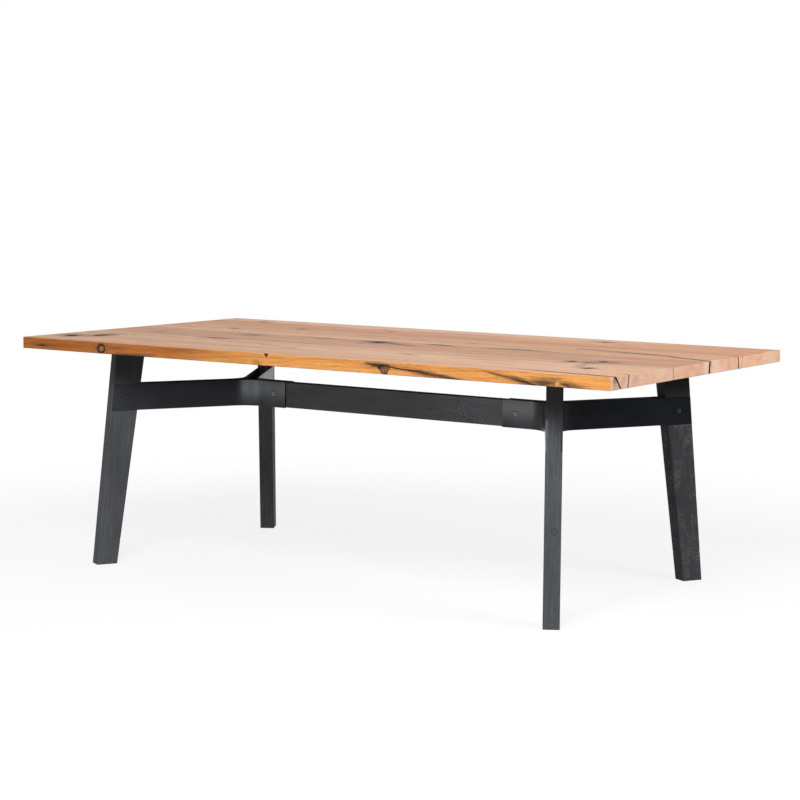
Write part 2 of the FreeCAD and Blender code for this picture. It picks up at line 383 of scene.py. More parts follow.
@dataclass(frozen=True)
class OakFinish(Finish):
    """Oiled old oak with rings round a pith line, fibres, pores, knots and stains."""

    seed: int
    pith_y: float
    pith_z: float
    lean_y: float
    lean_z: float
    top: OakTones
    edge: OakTones
    end: OakTones
    browned: float = 0.0
    heart: Colour = TOP_HEART
    ring_width: float = 0.0052
    blemishes: tuple[Blemish, ...] = ()

    @property
    def shift(self) -> Triple:
        """Moves the noise of each board to a place of its own."""
        return (self.seed * 2.3, self.seed * 5.9, self.seed * 1.1)

    def marks(self, graph: Graph, place: Socket, fibre: Socket) -> dict[str, object]:
        """Adds up the marks of the board.

        Args:
            graph: the graph to write in.
            place: warped place of the point.
            fibre: streaks of the fibres, which tear the marks lengthways.

        Returns:
            How much of each effect is there, from zero to one, and how much knots push the rings aside.
        """
        strands = graph.times(fibre, 1.6, -1.55)
        total: dict[str, object] = dict.fromkeys(("core", "halo", "stain", "scorch", "pale", "swirl"), 0.0)
        for number, spot in enumerate(self.blemishes):
            local = graph.local(place, spot.centre, (0.0, spot.turn_y, spot.turn_z), spot.size)
            ragged = graph.uneven(local, (1.3, 3.1, 3.1), (number * 3.7, 0.0, 0.0), 3.0, 0.6)
            out = graph.length(local)
            torn = graph.times(ragged, 1.5, graph.maths("ADD", out, strands))
            for effect, start, full in MARK_EFFECTS[spot.mark]:
                share = graph.spread(torn, start, full, 0.0, spot.strength)
                total[effect] = graph.most(total[effect], share)
            if spot.mark is KNOT:
                total["swirl"] = graph.maths("ADD", total["swirl"], graph.spread(out, 3.4, 0.4))
        return total

    def rings(self, graph: Graph, place: Socket, swirl: object) -> Socket:
        """Counts yearly rings outwards from the pith.

        Args:
            graph: the graph to write in.
            place: warped place of the point.
            swirl: how much the rings are pushed aside by knots.

        Returns:
            A number from zero to one across each ring.
        """
        along, across, deep = graph.split(place)
        across = graph.less(graph.times(along, self.lean_y, across), self.pith_y)
        deep = graph.less(graph.times(along, self.lean_z, deep), self.pith_z)
        radius = graph.maths("SQRT", graph.times(deep, deep, graph.times(across, across)))
        drift = graph.uneven(place, (0.8, 5.0, 5.0), self.shift)
        for push, reach in ((drift, 0.06), (swirl, 0.020)):
            radius = graph.times(push, reach, radius)
        return graph.maths("FRACT", graph.maths("DIVIDE", radius, self.ring_width))

    def tones(self, graph: Graph, place: Socket, warped: Socket) -> Socket:
        """Chooses the wood's tone for the way that a face is cut.

        Args:
            graph: the graph to write in.
            place: place of the point.
            warped: the same, pushed about a little.

        Returns:
            The colour before fibres and marks.
        """
        band = graph.uneven(place, (0.45, 9.0, 9.0), self.shift)
        streak = graph.uneven(warped, (0.9, 30.0, 30.0), self.shift, 4.0, 0.6)
        mixed = graph.times(band, 0.55, graph.times(streak, 0.45))
        sliver = graph.uneven(warped, (2.2, 40.0, 75.0), self.shift, 4.0, 0.6)
        growth = graph.uneven(warped, (1.0, 26.0, 40.0), self.shift, 3.0, 0.6)
        aside, ahead, _ = graph.facing()
        end = graph.spread(graph.maths("ABSOLUTE", aside), 0.6, 0.9)
        side = graph.spread(graph.maths("ABSOLUTE", ahead), 0.5, 0.9)
        colour = self.top.ramp(graph, mixed)
        edge = self.edge.ramp(graph, sliver)
        if self.browned:
            far = graph.times(band, 0.5, graph.split(place)[0])
            brown = graph.spread(far, -0.04, -0.24, 0.0, self.browned)
            edge = graph.blend(brown, edge, BROWNED_EDGE, "MULTIPLY")
        colour = graph.blend(side, colour, edge)
        return graph.blend(end, colour, self.end.ramp(graph, growth))

    def material(self) -> Material:
        """Writes the finish of one board.

        Returns:
            The material.
        """
        graph = self.graph()
        place = graph.place()
        warped = graph.wander(place, (9.0, 40.0, 40.0), self.shift, (0.012, 0.007, 0.007))
        fibre = graph.uneven(warped, Axis.X.stretch(10.0, 380.0), self.shift, 4.0, 0.6)
        marks = self.marks(graph, warped, fibre)
        ring = self.rings(graph, warped, marks["swirl"])
        late = graph.ramp(ring, greys((0.0, 0.0), (0.12, 0.1), (0.5, 0.8), (0.92, 1.0), (1.0, 0.0)))
        hair = graph.uneven(warped, Axis.X.stretch(26.0, 1100.0), self.shift, 2.0, 0.55)
        pore = graph.uneven(place, Axis.X.stretch(60.0, 1300.0), self.shift, 1.0)
        marks["pore"] = graph.times(graph.spread(pore, 0.58, 0.68), graph.spread(ring, 0.6, 0.05))
        colour = self.tones(graph, place, warped)
        early = graph.blend(1.0, colour, EARLY_WOOD, "MULTIPLY")
        side = graph.spread(graph.maths("ABSOLUTE", graph.facing()[1]), 0.5, 0.9, 0.0, 0.72)
        colour = graph.blend(graph.most(late, side), early, colour)
        grainy = graph.ramp(fibre, greys((0.25, 0.72), (0.5, 1.0), (0.8, 1.16)))
        colour = graph.blend(0.9, colour, grainy, "MULTIPLY")
        fine = graph.ramp(hair, greys((0.28, 0.78), (0.6, 1.06)))
        colour = graph.blend(0.8, colour, fine, "MULTIPLY")
        for effect, amount, paint in EFFECT_PAINTS:
            colour = graph.tint(colour, marks[effect], amount, paint)
        colour = graph.tint(colour, marks["core"], CORE_SHARE, self.heart)
        rough = graph.spread(fibre, 0.2, 0.8, 0.42, 0.60)
        height = graph.times(fibre, 0.6, graph.times(hair, 0.3))
        for effect, depth in (("pore", 0.8), ("core", 0.7)):
            height = graph.less(height, graph.times(marks[effect], depth))
        return graph.surface(colour, rough, graph.relief(height, 0.0006, 0.6), gloss=0.12)


@dataclass(frozen=True)
class TornFinish(Finish):
    """Torn wood inside cracks, open joints and hollow knots, near black: partly the wood's own dark colour,
    partly painted shade inside the hollow.
    """

    deep: Colour
    ridge: Colour
    stretch: Triple

    def material(self) -> Material:
        """Writes the finish.

        Returns:
            The material.
        """
        graph = self.graph()
        torn = graph.uneven(graph.place(), self.stretch, ORIGIN, 3.0, 0.6)
        colour = graph.ramp(torn, [(0.38, self.deep), (0.72, self.ridge)])
        return graph.surface(colour, 0.8, graph.relief(torn, 0.0012, 0.8), gloss=0.1)


@dataclass(frozen=True)
class FanFinish(Finish):
    """The inside of a fan shaped knot in the front edge, with strands that run together at its foot."""

    foot_x: float
    foot_z: float
    strands: float = 7.5
    ripples: float = 40.0
    reach: float = 0.036

    def material(self) -> Material:
        """Writes the finish.

        Returns:
            The material.
        """
        graph = self.graph()
        place = graph.place()
        x, _, z = graph.split(place)
        turn = graph.maths("ARCTAN2", graph.less(x, self.foot_x), graph.less(z, self.foot_z))
        far = graph.length(graph.local(place, (self.foot_x, 0.0, self.foot_z), ORIGIN, (1.0, 1e3, 1.0)))
        spot = graph.node("CombineXYZ", {0: turn, 1: far}).outputs[0]
        strand = graph.uneven(spot, (self.strands, self.ripples, 1.0), ORIGIN, 3.0, 0.6)
        colour = graph.ramp(strand, [
            (0.40, tone(0.020, 0.010, 0.006)),
            (0.50, tone(0.19, 0.085, 0.030)),
            (0.66, tone(0.46, 0.22, 0.080)),
        ])
        rim = graph.spread(far, self.reach * 0.76, self.reach * 0.96)
        foot = graph.spread(far, self.reach * 0.42, self.reach * 0.2)
        colour = graph.tint(colour, graph.most(rim, foot), 0.9, tone(0.020, 0.011, 0.008))
        return graph.surface(colour, 0.75, graph.relief(strand, 0.0010, 0.7), gloss=0.1)


@dataclass(frozen=True)
class InlayFinish(Finish):
    """Wood seen across its fibres, as in a sound knot or a turned plug."""

    core: Colour
    rim: Colour
    centre: Triple
    radius: float
    rings: float = 5.5

    def material(self) -> Material:
        """Writes the finish.

        Returns:
            The material.
        """
        graph = self.graph()
        place = graph.place()
        waver = graph.uneven(place, even(90.0), ORIGIN, 3.0)
        out = graph.times(waver, 0.35, graph.within(place, self.centre, self.radius))
        ring = graph.maths("FRACT", graph.times(out, self.rings))
        colour = graph.blend(graph.spread(out, 0.4, 1.25), self.core, self.rim)
        colour = graph.blend(graph.spread(ring, 0.75, 1.0, 0.0, 0.4), colour, tone(0.10, 0.045, 0.018))
        check = graph.uneven(place, (500.0, 500.0, 120.0))
        colour = graph.blend(graph.spread(check, 0.62, 0.75, 0.0, 0.6), colour, tone(0.06, 0.03, 0.015))
        return graph.surface(colour, 0.6, graph.relief(ring, 0.0004, 0.5), gloss=0.12)


@dataclass(frozen=True)
class BlackOakFinish(Finish):
    """Black stained oak with open grain that stays visible under the stain, and rough saw marks if any."""

    grain: Axis
    seed: int
    sawn: float = 0.0
    scuffed: float = 0.0
    # Painted light: a factor on the stain's tones that makes a piece lighter or darker for the light that
    # reaches it where it stands.
    lift: float = 1.0
    lean: float = 0.0
    # Painted shade at the top of a leg: the height where it starts, how far up it takes to be full, and its
    # full share.
    painted_shade_above: float = 0.0
    painted_shade_fade: float = 0.12
    painted_shade_share: float = 0.5
    stroke_pitch: float = 0.0105
    stroke_slant: float = 1.15
    gloss: float = 0.06

    def hatch(self, graph: Graph, place: Socket, patch: Socket) -> Socket:
        """Draws the slanting strokes of a band saw, which fade out along the beam.

        Args:
            graph: the graph to write in.
            place: place of the point.
            patch: uneven blotches that break the strokes up.

        Returns:
            How much of a stroke is at a point.
        """
        x, _, z = graph.split(place)
        slant = graph.times(patch, 0.012, graph.times(z, self.stroke_slant, x))
        wave = graph.maths("SINE", graph.times(slant, 2 * math.pi / self.stroke_pitch))
        stroke = graph.times(graph.spread(wave, 0.1, 0.95), graph.spread(patch, 0.30, 0.50))
        return graph.times(stroke, graph.spread(x, 0.05, 0.36, 0.22, 1.0))

    def material(self) -> Material:
        """Writes the finish.

        Returns:
            The material.
        """
        graph = self.graph()
        shift = (self.seed * 1.9, self.seed * 4.3, self.seed * 2.7)
        place = graph.local(graph.place(), ORIGIN, (0.0, self.lean, 0.0), even(1.0))
        warped = graph.wander(place, self.grain.stretch(5.0, 26.0), shift, even(0.006))
        fibre = graph.uneven(warped, self.grain.stretch(9.0, 300.0), shift, 4.0, 0.62)
        hair = graph.uneven(warped, self.grain.stretch(30.0, 1000.0), shift)
        cloud = graph.uneven(place, self.grain.stretch(3.0, 14.0), shift, 3.0)
        # The stain's tones are scaled by the painted light factor.
        colour = graph.ramp(fibre, [(at, shade(stain, self.lift)) for at, stain in BLACK_STAIN])
        colour = graph.blend(graph.spread(cloud, 0.35, 0.75, 0.0, 0.45), colour, tone(0.036, 0.036, 0.038))
        colour = graph.blend(graph.spread(hair, 0.62, 0.78, 0.0, 0.6), colour, grey(0.008))
        rough = graph.spread(fibre, 0.2, 0.8, 0.68, 0.52)
        normal = graph.relief(graph.times(hair, 0.35, fibre), 0.0008, 0.7)
        if self.sawn:
            fuzz = graph.uneven(place, even(420.0), shift, 3.0, 0.7)
            stroke = self.hatch(graph, place, cloud)
            colour = graph.blend(graph.spread(fuzz, 0.50, 0.72, 0.0, self.sawn), colour, grey(0.14))
            colour = graph.tint(colour, stroke, 0.85, tone(0.48, 0.53, 0.59))
            normal = graph.relief(graph.maths("ADD", fuzz, stroke), 0.0007, 0.7, normal)
        if self.scuffed:
            kerf = graph.uneven(warped, self.grain.stretch(330.0, 16.0), shift)
            patch = graph.uneven(place, (24.0, 24.0, 11.0), shift, 3.0, 0.6)
            worn = graph.times(graph.spread(kerf, 0.50, 0.66), graph.spread(patch, 0.45, 0.65))
            colour = graph.tint(colour, worn, self.scuffed, tone(0.115, 0.104, 0.098))
            fleck = graph.uneven(place, (520.0, 520.0, 330.0), shift)
            chip = graph.times(graph.spread(fleck, 0.57, 0.70), graph.spread(patch, 0.42, 0.60))
            colour = graph.tint(colour, chip, self.scuffed, tone(0.24, 0.215, 0.20))
            normal = graph.relief(worn, 0.0006, 0.6, normal)
        # Painted shade: above a height the colour darkens towards near black, standing for the shadow of the
        # table top on the upper part of the legs.
        if self.painted_shade_above:
            z = graph.split(graph.place())[2]
            deep = graph.spread(z, self.painted_shade_above, self.painted_shade_above + self.painted_shade_fade, 0.0, self.painted_shade_share)
            colour = graph.blend(deep, colour, grey(0.008))
        # Painted shade: faces that look up, such as the top of the stretcher, are darkened for the shadow
        # under the table top.
        colour, rough = graph.shaded_upward(colour, rough, 0.85, grey(0.006))
        return graph.surface(colour, rough, normal, self.gloss)


@dataclass(frozen=True)
class CoatedSteelFinish(Finish):
    """Satin black coating on flat steel, with a faint skin texture and a little rubbing."""

    colour: Colour = (0.0208, 0.0242, 0.0312, 1.0)
    roughness: float = 0.33
    gloss: float = 0.19

    def material(self) -> Material:
        """Writes the finish.

        Returns:
            The material.
        """
        graph = self.graph()
        place = graph.place()
        pores = graph.uneven(place, even(700.0))
        cloud = graph.uneven(place, even(14.0), ORIGIN, 4.0, 0.6)
        rub = graph.uneven(place, (60.0, 60.0, 220.0), ORIGIN, 3.0)
        colour = graph.ramp(cloud, [(0.3, shade(self.colour, 0.82)), (0.7, shade(self.colour, 1.2))])
        colour = graph.blend(graph.spread(rub, 0.68, 0.82, 0.0, 0.25), colour, grey(0.06))
        rough = graph.spread(cloud, 0.3, 0.75, self.roughness - 0.05, self.roughness + 0.07)
        # Painted shade: the coat turns near black on faces that look up, for the shadow of the table top on
        # the top edges of the bars.
        colour, rough = graph.shaded_upward(colour, rough, 0.8, grey(0.002))
        return graph.surface(colour, rough, graph.relief(pores, 0.00012, 0.35), self.gloss)


@dataclass(frozen=True)
class BareSteelFinish(Finish):
    """Mill finish or plated steel of the plates, cross bars, bolts and screws."""

    colour: Colour
    roughness: float
    socket_shade_depth: float = 0.0

    def material(self) -> Material:
        """Writes the finish.

        Returns:
            The material.
        """
        graph = self.graph()
        place = graph.place()
        brush = graph.uneven(place, (30.0, 900.0, 900.0), ORIGIN, 3.0)
        cloud = graph.uneven(place, even(18.0), ORIGIN, 4.0)
        red, green, blue, _ = self.colour
        colour = graph.ramp(cloud, [(0.3, tone(red * 0.7, green * 0.7, blue * 0.68)), (0.7, self.colour)])
        rough = graph.spread(brush, 0.2, 0.8, self.roughness - 0.08, self.roughness + 0.12)
        # Painted shade: where ambient occlusion within this distance finds the surface closed in, as in the
        # hex sockets of the bolts, the colour turns near black.
        if self.socket_shade_depth:
            open_sky = graph.node("AmbientOcclusion", {"Distance": self.socket_shade_depth}, samples=8)
            clear = graph.spread(open_sky.outputs["AO"], 0.55, 0.95)
            colour = graph.blend(clear, grey(0.004), colour)
        return graph.surface(colour, rough, graph.relief(brush, 0.0001, 0.3), metal=1.0)


def link(name: str, mesh: bpy.types.Mesh, *materials: Material) -> Piece:
    """Makes a mesh an object of the scene.

    Args:
        name: name of the object and of its mesh.
        mesh: the mesh.
        materials: its materials, in the order of its faces' indices.

    Returns:
        The object.
    """
    mesh.name = name
    made = bpy.data.objects.new(name, mesh)
    bpy.context.scene.collection.objects.link(made)
    for material in materials:
        mesh.materials.append(material)
    return made


def as_mesh(shape: WorkMesh, name: str) -> bpy.types.Mesh:
    """Closes a working mesh.

    Args:
        shape: the working mesh, which is freed.
        name: name of the result.

    Returns:
        The mesh.
    """
    bmesh.ops.recalc_face_normals(shape, faces=shape.faces)
    mesh = bpy.data.meshes.new(name)
    shape.to_mesh(mesh)
    shape.free()
    return mesh


def cad_copy(node: str) -> WorkMesh:
    """Copies a solid's mesh with its split corners joined.

    Args:
        node: name of the node.

    Returns:
        A working mesh in the table's frame.
    """
    shape = bmesh.new()
    shape.from_mesh(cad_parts[node].data)
    bmesh.ops.remove_doubles(shape, verts=shape.verts, dist=WELD_DISTANCE)
    return shape


def wall(shape: WorkMesh, near: Ring, far: Ring) -> None:
    """Joins two rings of equal count with faces.

    Args:
        shape: the working mesh.
        near: the first ring.
        far: the second ring.
    """
    count = len(near)
    for index in range(count):
        after = (index + 1) % count
        shape.faces.new((near[index], near[after], far[after], far[index]))


def skin(shape: WorkMesh, rings: list[Ring]) -> None:
    """Closes a row of rings of equal count into a solid.

    Args:
        shape: the working mesh.
        rings: the rings, in order.
    """
    for near, far in zip(rings, rings[1:]):
        wall(shape, near, far)
    shape.faces.new(list(reversed(rings[0])))
    shape.faces.new(rings[-1])


def carve(target: Piece, cutter: Piece) -> None:
    """Cuts one object's shape out of another and removes the cutter.

    Args:
        target: the object that is cut.
        cutter: the closed shapes to take away; its material lines the cuts.
    """
    cut = target.modifiers.new("carve", "BOOLEAN")
    cut.operation = "DIFFERENCE"
    cut.solver = "EXACT"
    cut.use_self = True
    cut.material_mode = "TRANSFER"
    cut.object = cutter
    graph = bpy.context.evaluated_depsgraph_get()
    mesh = bpy.data.meshes.new_from_object(target.evaluated_get(graph))
    target.modifiers.clear()
    old = target.data
    mesh.name = old.name
    target.data = mesh
    bpy.data.meshes.remove(old)
    bpy.data.objects.remove(cutter)


def shade_faces(mesh: bpy.types.Mesh, smooth: bool) -> None:
    """Shades all faces of a mesh smooth or flat."""
    mesh.polygons.foreach_set("use_smooth", [smooth] * len(mesh.polygons))


def smooth_by_angle(piece: Piece, degrees: float) -> None:
    """Shades a mesh smoothly except across edges that turn by more than an angle."""
    shade_faces(piece.data, True)
    piece.data.set_sharp_from_angle(angle=math.radians(degrees))


def soften(piece: Piece, width: float, weld: bool = False) -> None:
    """Rounds the sharp edges of a piece a little and shades it smoothly.

    Args:
        piece: the object.
        width: how far the rounding reaches.
        weld: join split corners first.
    """
    if weld:
        join = piece.modifiers.new("weld", "WELD")
        join.merge_threshold = WELD_DISTANCE
    bevel = piece.modifiers.new("edges", "BEVEL")
    bevel.width = width
    bevel.segments = 2
    bevel.limit_method = "ANGLE"
    bevel.angle_limit = BEVEL_ANGLE
    normals = piece.modifiers.new("shade", "WEIGHTED_NORMAL")
    normals.keep_sharp = True
    shade_faces(piece.data, True)


@dataclass(frozen=True)
class Crack:
    """A V shaped crack along a line on a face of the top.

    An open end runs off the edge of its face. The taper widens or narrows the start and the end.
    """

    points: tuple[Triple, ...]
    normal: Triple
    width: float
    depth: float
    open_start: bool = False
    open_end: bool = False
    step: float = 0.02
    jitter: float = 0.0007
    taper: Pair = EVEN
    floor_share: float = 0.25
    overrun: float = 0.002
    closing_share: float = 0.25
    least_share: float = 0.02
    least_half: float = 0.00012
    least_depth: float = 0.0006

    def fullness(self, share: float) -> float:
        """Finds how open the crack is at a place.

        Args:
            share: share of the crack's length.

        Returns:
            A share of its full width and depth.
        """
        rise = 1.0 if self.open_start else min(1.0, share / self.closing_share)
        fall = 1.0 if self.open_end else min(1.0, (1.0 - share) / self.closing_share)
        start, end = self.taper
        return max(self.least_share, min(rise, fall)) ** 0.7 * (start + (end - start) * share)

    def walk(self, side: Vector, rng: random.Random) -> list[Vector]:
        """Follows the crack's line in short uneven steps.

        Args:
            side: the sideways direction.
            rng: source of the unevenness.

        Returns:
            The points of the walk.
        """
        corners = [Vector(point) for point in self.points]
        path = []
        for start, end in zip(corners, corners[1:]):
            count = max(2, round((end - start).length / self.step))
            for index in range(count):
                stray = rng.uniform(-self.jitter, self.jitter) if path else 0.0
                path.append(start.lerp(end, index / count) + side * stray)
        return path + corners[-1:]

    def cut(self, shape: WorkMesh, rng: random.Random) -> None:
        """Adds the crack's room to a cutter.

        Args:
            shape: the cutter.
            rng: source of the unevenness.
        """
        normal = Vector(self.normal)
        side = (Vector(self.points[-1]) - Vector(self.points[0])).cross(normal).normalized()
        path = self.walk(side, rng)
        sections = []
        for index, point in enumerate(path):
            share = self.fullness(index / (len(path) - 1))
            half = max(self.least_half, self.width / 2 * share * rng.uniform(0.75, 1.15))
            low = max(self.least_depth, self.depth * min(1.0, share) * rng.uniform(0.85, 1.1))
            floor = half * self.floor_share
            spots = ((half, self.overrun), (-half, self.overrun), (-floor, -low), (floor, -low))
            sections.append([shape.verts.new(point + side * wide + normal * level) for wide, level in spots])
        skin(shape, sections)


@dataclass(frozen=True)
class Hollow:
    """An open knot: an uneven bowl sunk into a face of the top.

    Each ring of the bowl below the face has a share of the outline's size and of the depth.
    """

    centre: Triple
    normal: Triple
    along: Triple
    outline: tuple[Pair, ...]
    depth: float
    rough: float = 0.12
    rounds: int = 4
    overrun: float = 0.002
    lining: int = 1
    bowl: tuple[Pair, ...] = ((0.97, -0.2), (0.72, -0.75), (0.35, -1.0))
    floor_rough: float = 0.12

    def rim(self, rng: random.Random) -> list[Pair]:
        """Divides the outline into short uneven steps.

        Args:
            rng: source of the unevenness.

        Returns:
            The corners of the rim.
        """
        points = []
        for (u0, v0), (u1, v1) in zip(self.outline, self.outline[1:] + self.outline[:1]):
            for step in range(self.rounds):
                share = step / self.rounds
                wave = 1.0 + rng.uniform(-self.rough, self.rough)
                points.append(((u0 + (u1 - u0) * share) * wave, (v0 + (v1 - v0) * share) * wave))
        return points

    def cut(self, shape: WorkMesh, rng: random.Random) -> None:
        """Adds the bowl's room to a cutter.

        Args:
            shape: the cutter.
            rng: source of the unevenness.
        """
        normal = Vector(self.normal)
        along = Vector(self.along).normalized()
        aside = normal.cross(along)
        centre = Vector(self.centre)
        rim = self.rim(rng)
        rings = [[shape.verts.new(centre + along * u + aside * v + normal * self.overrun) for u, v in rim]]
        for shrink, share in self.bowl:
            ring = []
            for u, v in rim:
                level = share * self.depth + rng.uniform(-self.floor_rough, self.floor_rough) * self.depth
                spot = centre + along * (u * shrink) + aside * (v * shrink) + normal * level
                ring.append(shape.verts.new(spot))
            rings.append(ring)
        before = len(shape.faces)
        skin(shape, rings)
        shape.faces.ensure_lookup_table()
        for face in shape.faces[before:]:
            face.material_index = self.lining


@dataclass
class Inlay:
    """A round of wood set in the front edge: a sound knot with a dark gap round it, or a turned plug."""

    name: str
    centre_x: float
    centre_z: float
    half_wide: float
    half_high: float
    gap: float
    core: Colour
    rim: Colour
    sunk: float = 0.0004
    rough: float = 0.04
    depth: float = 0.006
    back_share: float = 0.8
    ease: float = 0.0006
    crown: float = 0.0002
    clearance: float = 0.0003
    count: int = 28

    def outline(self, grow: float) -> tuple[Pair, ...]:
        """Draws an uneven oval in the plane of the front edge.

        Args:
            grow: margin round it.

        Returns:
            The corners of the oval.
        """
        rng = random.Random(self.name)
        points = []
        for u, v in around(self.count):
            wave = 1.0 + rng.uniform(-self.rough, self.rough)
            points.append(((self.half_wide * wave + grow) * u, (self.half_high * wave + grow) * v))
        return tuple(points)

    def seat(self, face_y: float) -> Hollow:
        """Returns the hole in the front edge that the inlay sits in."""
        centre = (self.centre_x, face_y, self.centre_z)
        return Hollow(centre, FRONT, RIGHT, self.outline(self.gap), self.depth, rough=0.0, rounds=1)

    def build(self, face_y: float, floor_z: float) -> Piece:
        """Builds the inlay with an eased rim.

        Args:
            face_y: place of the front edge.
            floor_z: height of the underside of the top, below which nothing shows.

        Returns:
            The piece.
        """
        shape = bmesh.new()
        outline = self.outline(0.0)
        levels = (
            (1.0, self.depth * self.back_share), (1.0, self.sunk + self.ease),
            (0.95, self.sunk), (0.5, self.sunk - self.crown),
        )
        rings = []
        for shrink, level in levels:
            ring = []
            for u, w in outline:
                high = max(self.centre_z + w * shrink, floor_z + self.clearance)
                ring.append(shape.verts.new((self.centre_x + u * shrink, face_y + level, high)))
            rings.append(ring)
        skin(shape, rings)
        radius = max(self.half_wide, self.half_high)
        finish = InlayFinish(self.name, self.core, self.rim, (self.centre_x, face_y, self.centre_z), radius)
        piece = link(self.name, as_mesh(shape, self.name), finish.material())
        shade_faces(piece.data, True)
        return piece


@dataclass
class Board:
    """One plank of the top: its solid, its finish and what time has done to it."""

    node: str
    finish: OakFinish
    edge_marks: tuple[Blemish, ...] = ()
    cracks: tuple[Crack, ...] = ()
    hollows: tuple[Hollow, ...] = ()

    def build(self, linings: tuple[Material, ...]) -> Piece:
        """Builds the plank with its cracks and open knots cut in.

        Args:
            linings: materials inside the cracks, the open knots and the fan shaped knot.

        Returns:
            The piece.
        """
        rng = random.Random(self.node)
        piece = link(self.node + "_oak", as_mesh(cad_copy(self.node), self.node), self.finish.material())
        cutter = bmesh.new()
        for cut in self.cracks + self.hollows:
            cut.cut(cutter, rng)
        carve(piece, link(self.node + "_cutter", as_mesh(cutter, "cutter"), *linings))
        mesh = piece.data
        shade_faces(mesh, False)
        edge_name = self.finish.name + "_edge"
        edge = replace(self.finish, name=edge_name, heart=EDGE_HEART, blemishes=self.edge_marks)
        mesh.materials.append(edge.material())
        for face in mesh.polygons:
            if face.material_index == 0 and abs(face.normal.y) > 0.7:
                face.material_index = len(mesh.materials) - 1
        return piece


@dataclass
class TableTop:
    """The slab of four old planks, with its seams, cracks, knots and inlays.

    The end joints say for each seam how far its open joint on the right end face leans, then its width, its
    depth, the share of the thickness that it leaves whole and its taper.
    """

    half_length: float = field(init=False)
    half_width: float = field(init=False)
    surface_z: float = field(init=False)
    floor_z: float = field(init=False)
    seams: list[float] = field(init=False)
    groove_width: float = 0.0022
    groove_depth: float = 0.0016
    overrun: float = 0.003
    end_joints: tuple[tuple, ...] = (
        (0.004, 0.0022, 0.030), (0.0, 0.0100, 0.090, 0.0, (0.40, 1.3)), (0.006, 0.0062, 0.050),
    )

    def __post_init__(self) -> None:
        """Reads the sizes of the slab from its solids."""
        low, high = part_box("top_board_front")
        self.half_length = high.x
        self.half_width = -low.y
        self.surface_z = high.z
        self.floor_z = low.z
        before_seams = ("top_board_front", "top_board_mid_front", "top_board_mid_back")
        self.seams = [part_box(node)[1].y for node in before_seams]

    @property
    def reach(self) -> float:
        """Place just past the right end, where open cracks run out."""
        return self.half_length + self.overrun

    def grooves(self, seam: int) -> tuple[Crack, ...]:
        """Describes the fine grooves along the joint between two planks; the second one gapes for a while.

        Args:
            seam: number of the joint.

        Returns:
            The grooves.
        """
        width, depth, reach = self.groove_width, self.groove_depth, self.reach
        rows = (
            ((width, depth, -reach, reach),),
            ((width, depth, -reach, 0.42), (0.0034, 0.006, 0.40, 0.56), (width, depth, 0.54, reach)),
            ((width * 0.7, depth, -reach, reach),),
        )
        made = []
        for wide, deep, start, end in rows[seam]:
            ends = tuple((x, self.seams[seam], self.surface_z) for x in (start, end))
            made.append(Crack(ends, UP, wide, deep, True, True, step=0.05, jitter=0.0002))
        return tuple(made)

    def end_crack(self, end: int, top_y: float, low_y: float, width: float, depth: float,
                  low_share: float = 0.0, taper: Pair = EVEN) -> Crack:
        """Describes a crack down an end face, from the surface to a share of the thickness.

        Args:
            end: plus one for the right end, minus one for the left.
            top_y: place at the surface.
            low_y: place at the lower end.
            width: width of the crack.
            depth: how far it runs into the board.
            low_share: share of the thickness that it leaves whole.
            taper: how much wider it is at its start and at its end.

        Returns:
            The crack.
        """
        x, over = end * self.half_length, self.overrun
        through = low_share == 0.0
        low_z = self.floor_z + (self.surface_z - self.floor_z) * low_share
        middle = (x, (top_y + low_y) / 2, (self.surface_z + low_z) / 2)
        points = ((x, top_y, self.surface_z + over), middle, (x, low_y, low_z - over * through))
        normal = RIGHT if end > 0 else LEFT
        return Crack(points, normal, width, depth, True, through, step=0.006, jitter=0.0005, taper=taper)

    def end_joint(self, seam: int) -> tuple:
        """Returns the open joint of a seam on the right end face, as a row of values for a crack there."""
        lean, *others = self.end_joints[seam]
        return (1, self.seams[seam], self.seams[seam] + lean, *others)

    def flat_crack(self, points: tuple[Pair, ...], width: float, depth: float, open_end: bool = False,
                   taper: Pair = EVEN) -> Crack:
        """Returns a crack on the surface through points given by x and y."""
        spots = tuple((x, y, self.surface_z) for x, y in points)
        return Crack(spots, UP, width, depth, False, open_end, step=0.014, taper=taper)

    def edge_crack(self, points: tuple[Pair, ...], width: float, depth: float, open_start: bool = False,
                   open_end: bool = False) -> Crack:
        """Returns a crack on the front edge through points given by x and z."""
        spots = tuple((x, -self.half_width, z) for x, z in points)
        return Crack(spots, FRONT, width, depth, open_start, open_end, step=0.007)

    def flat_hollow(self, x: float, y: float, half_long: float, half_wide: float, depth: float,
                    turn: float = 0.0) -> Hollow:
        """Describes an open knot on the surface.

        Args:
            x: place along the table.
            y: place across the table.
            half_long: half its length.
            half_wide: half its width.
            depth: depth of the bowl.
            turn: turn of its long side from the length of the board.

        Returns:
            The open knot.
        """
        outline = tuple((half_long * u, half_wide * v) for u, v in around(KNOT_CORNERS))
        along = (math.cos(turn), math.sin(turn), 0.0)
        return Hollow((x, y, self.surface_z), UP, along, outline, depth, rough=0.25)

    def edge_hollow(self, x: float, z: float, outline: tuple[Pair, ...], depth: float,
                    lining: int = 1) -> Hollow:
        """Returns an open knot in the front edge."""
        return Hollow((x, -self.half_width, z), FRONT, RIGHT, outline, depth, rough=0.10, lining=lining)

    def on_top(self, mark: Mark, x: float, y: float, half_long: float, half_wide: float,
               strength: float = 1.0, turn: float = 0.0) -> Blemish:
        """Returns a mark on the surface."""
        return Blemish(mark, (x, y, self.surface_z), (half_long, half_wide, 0.03), 0.0, turn, strength)

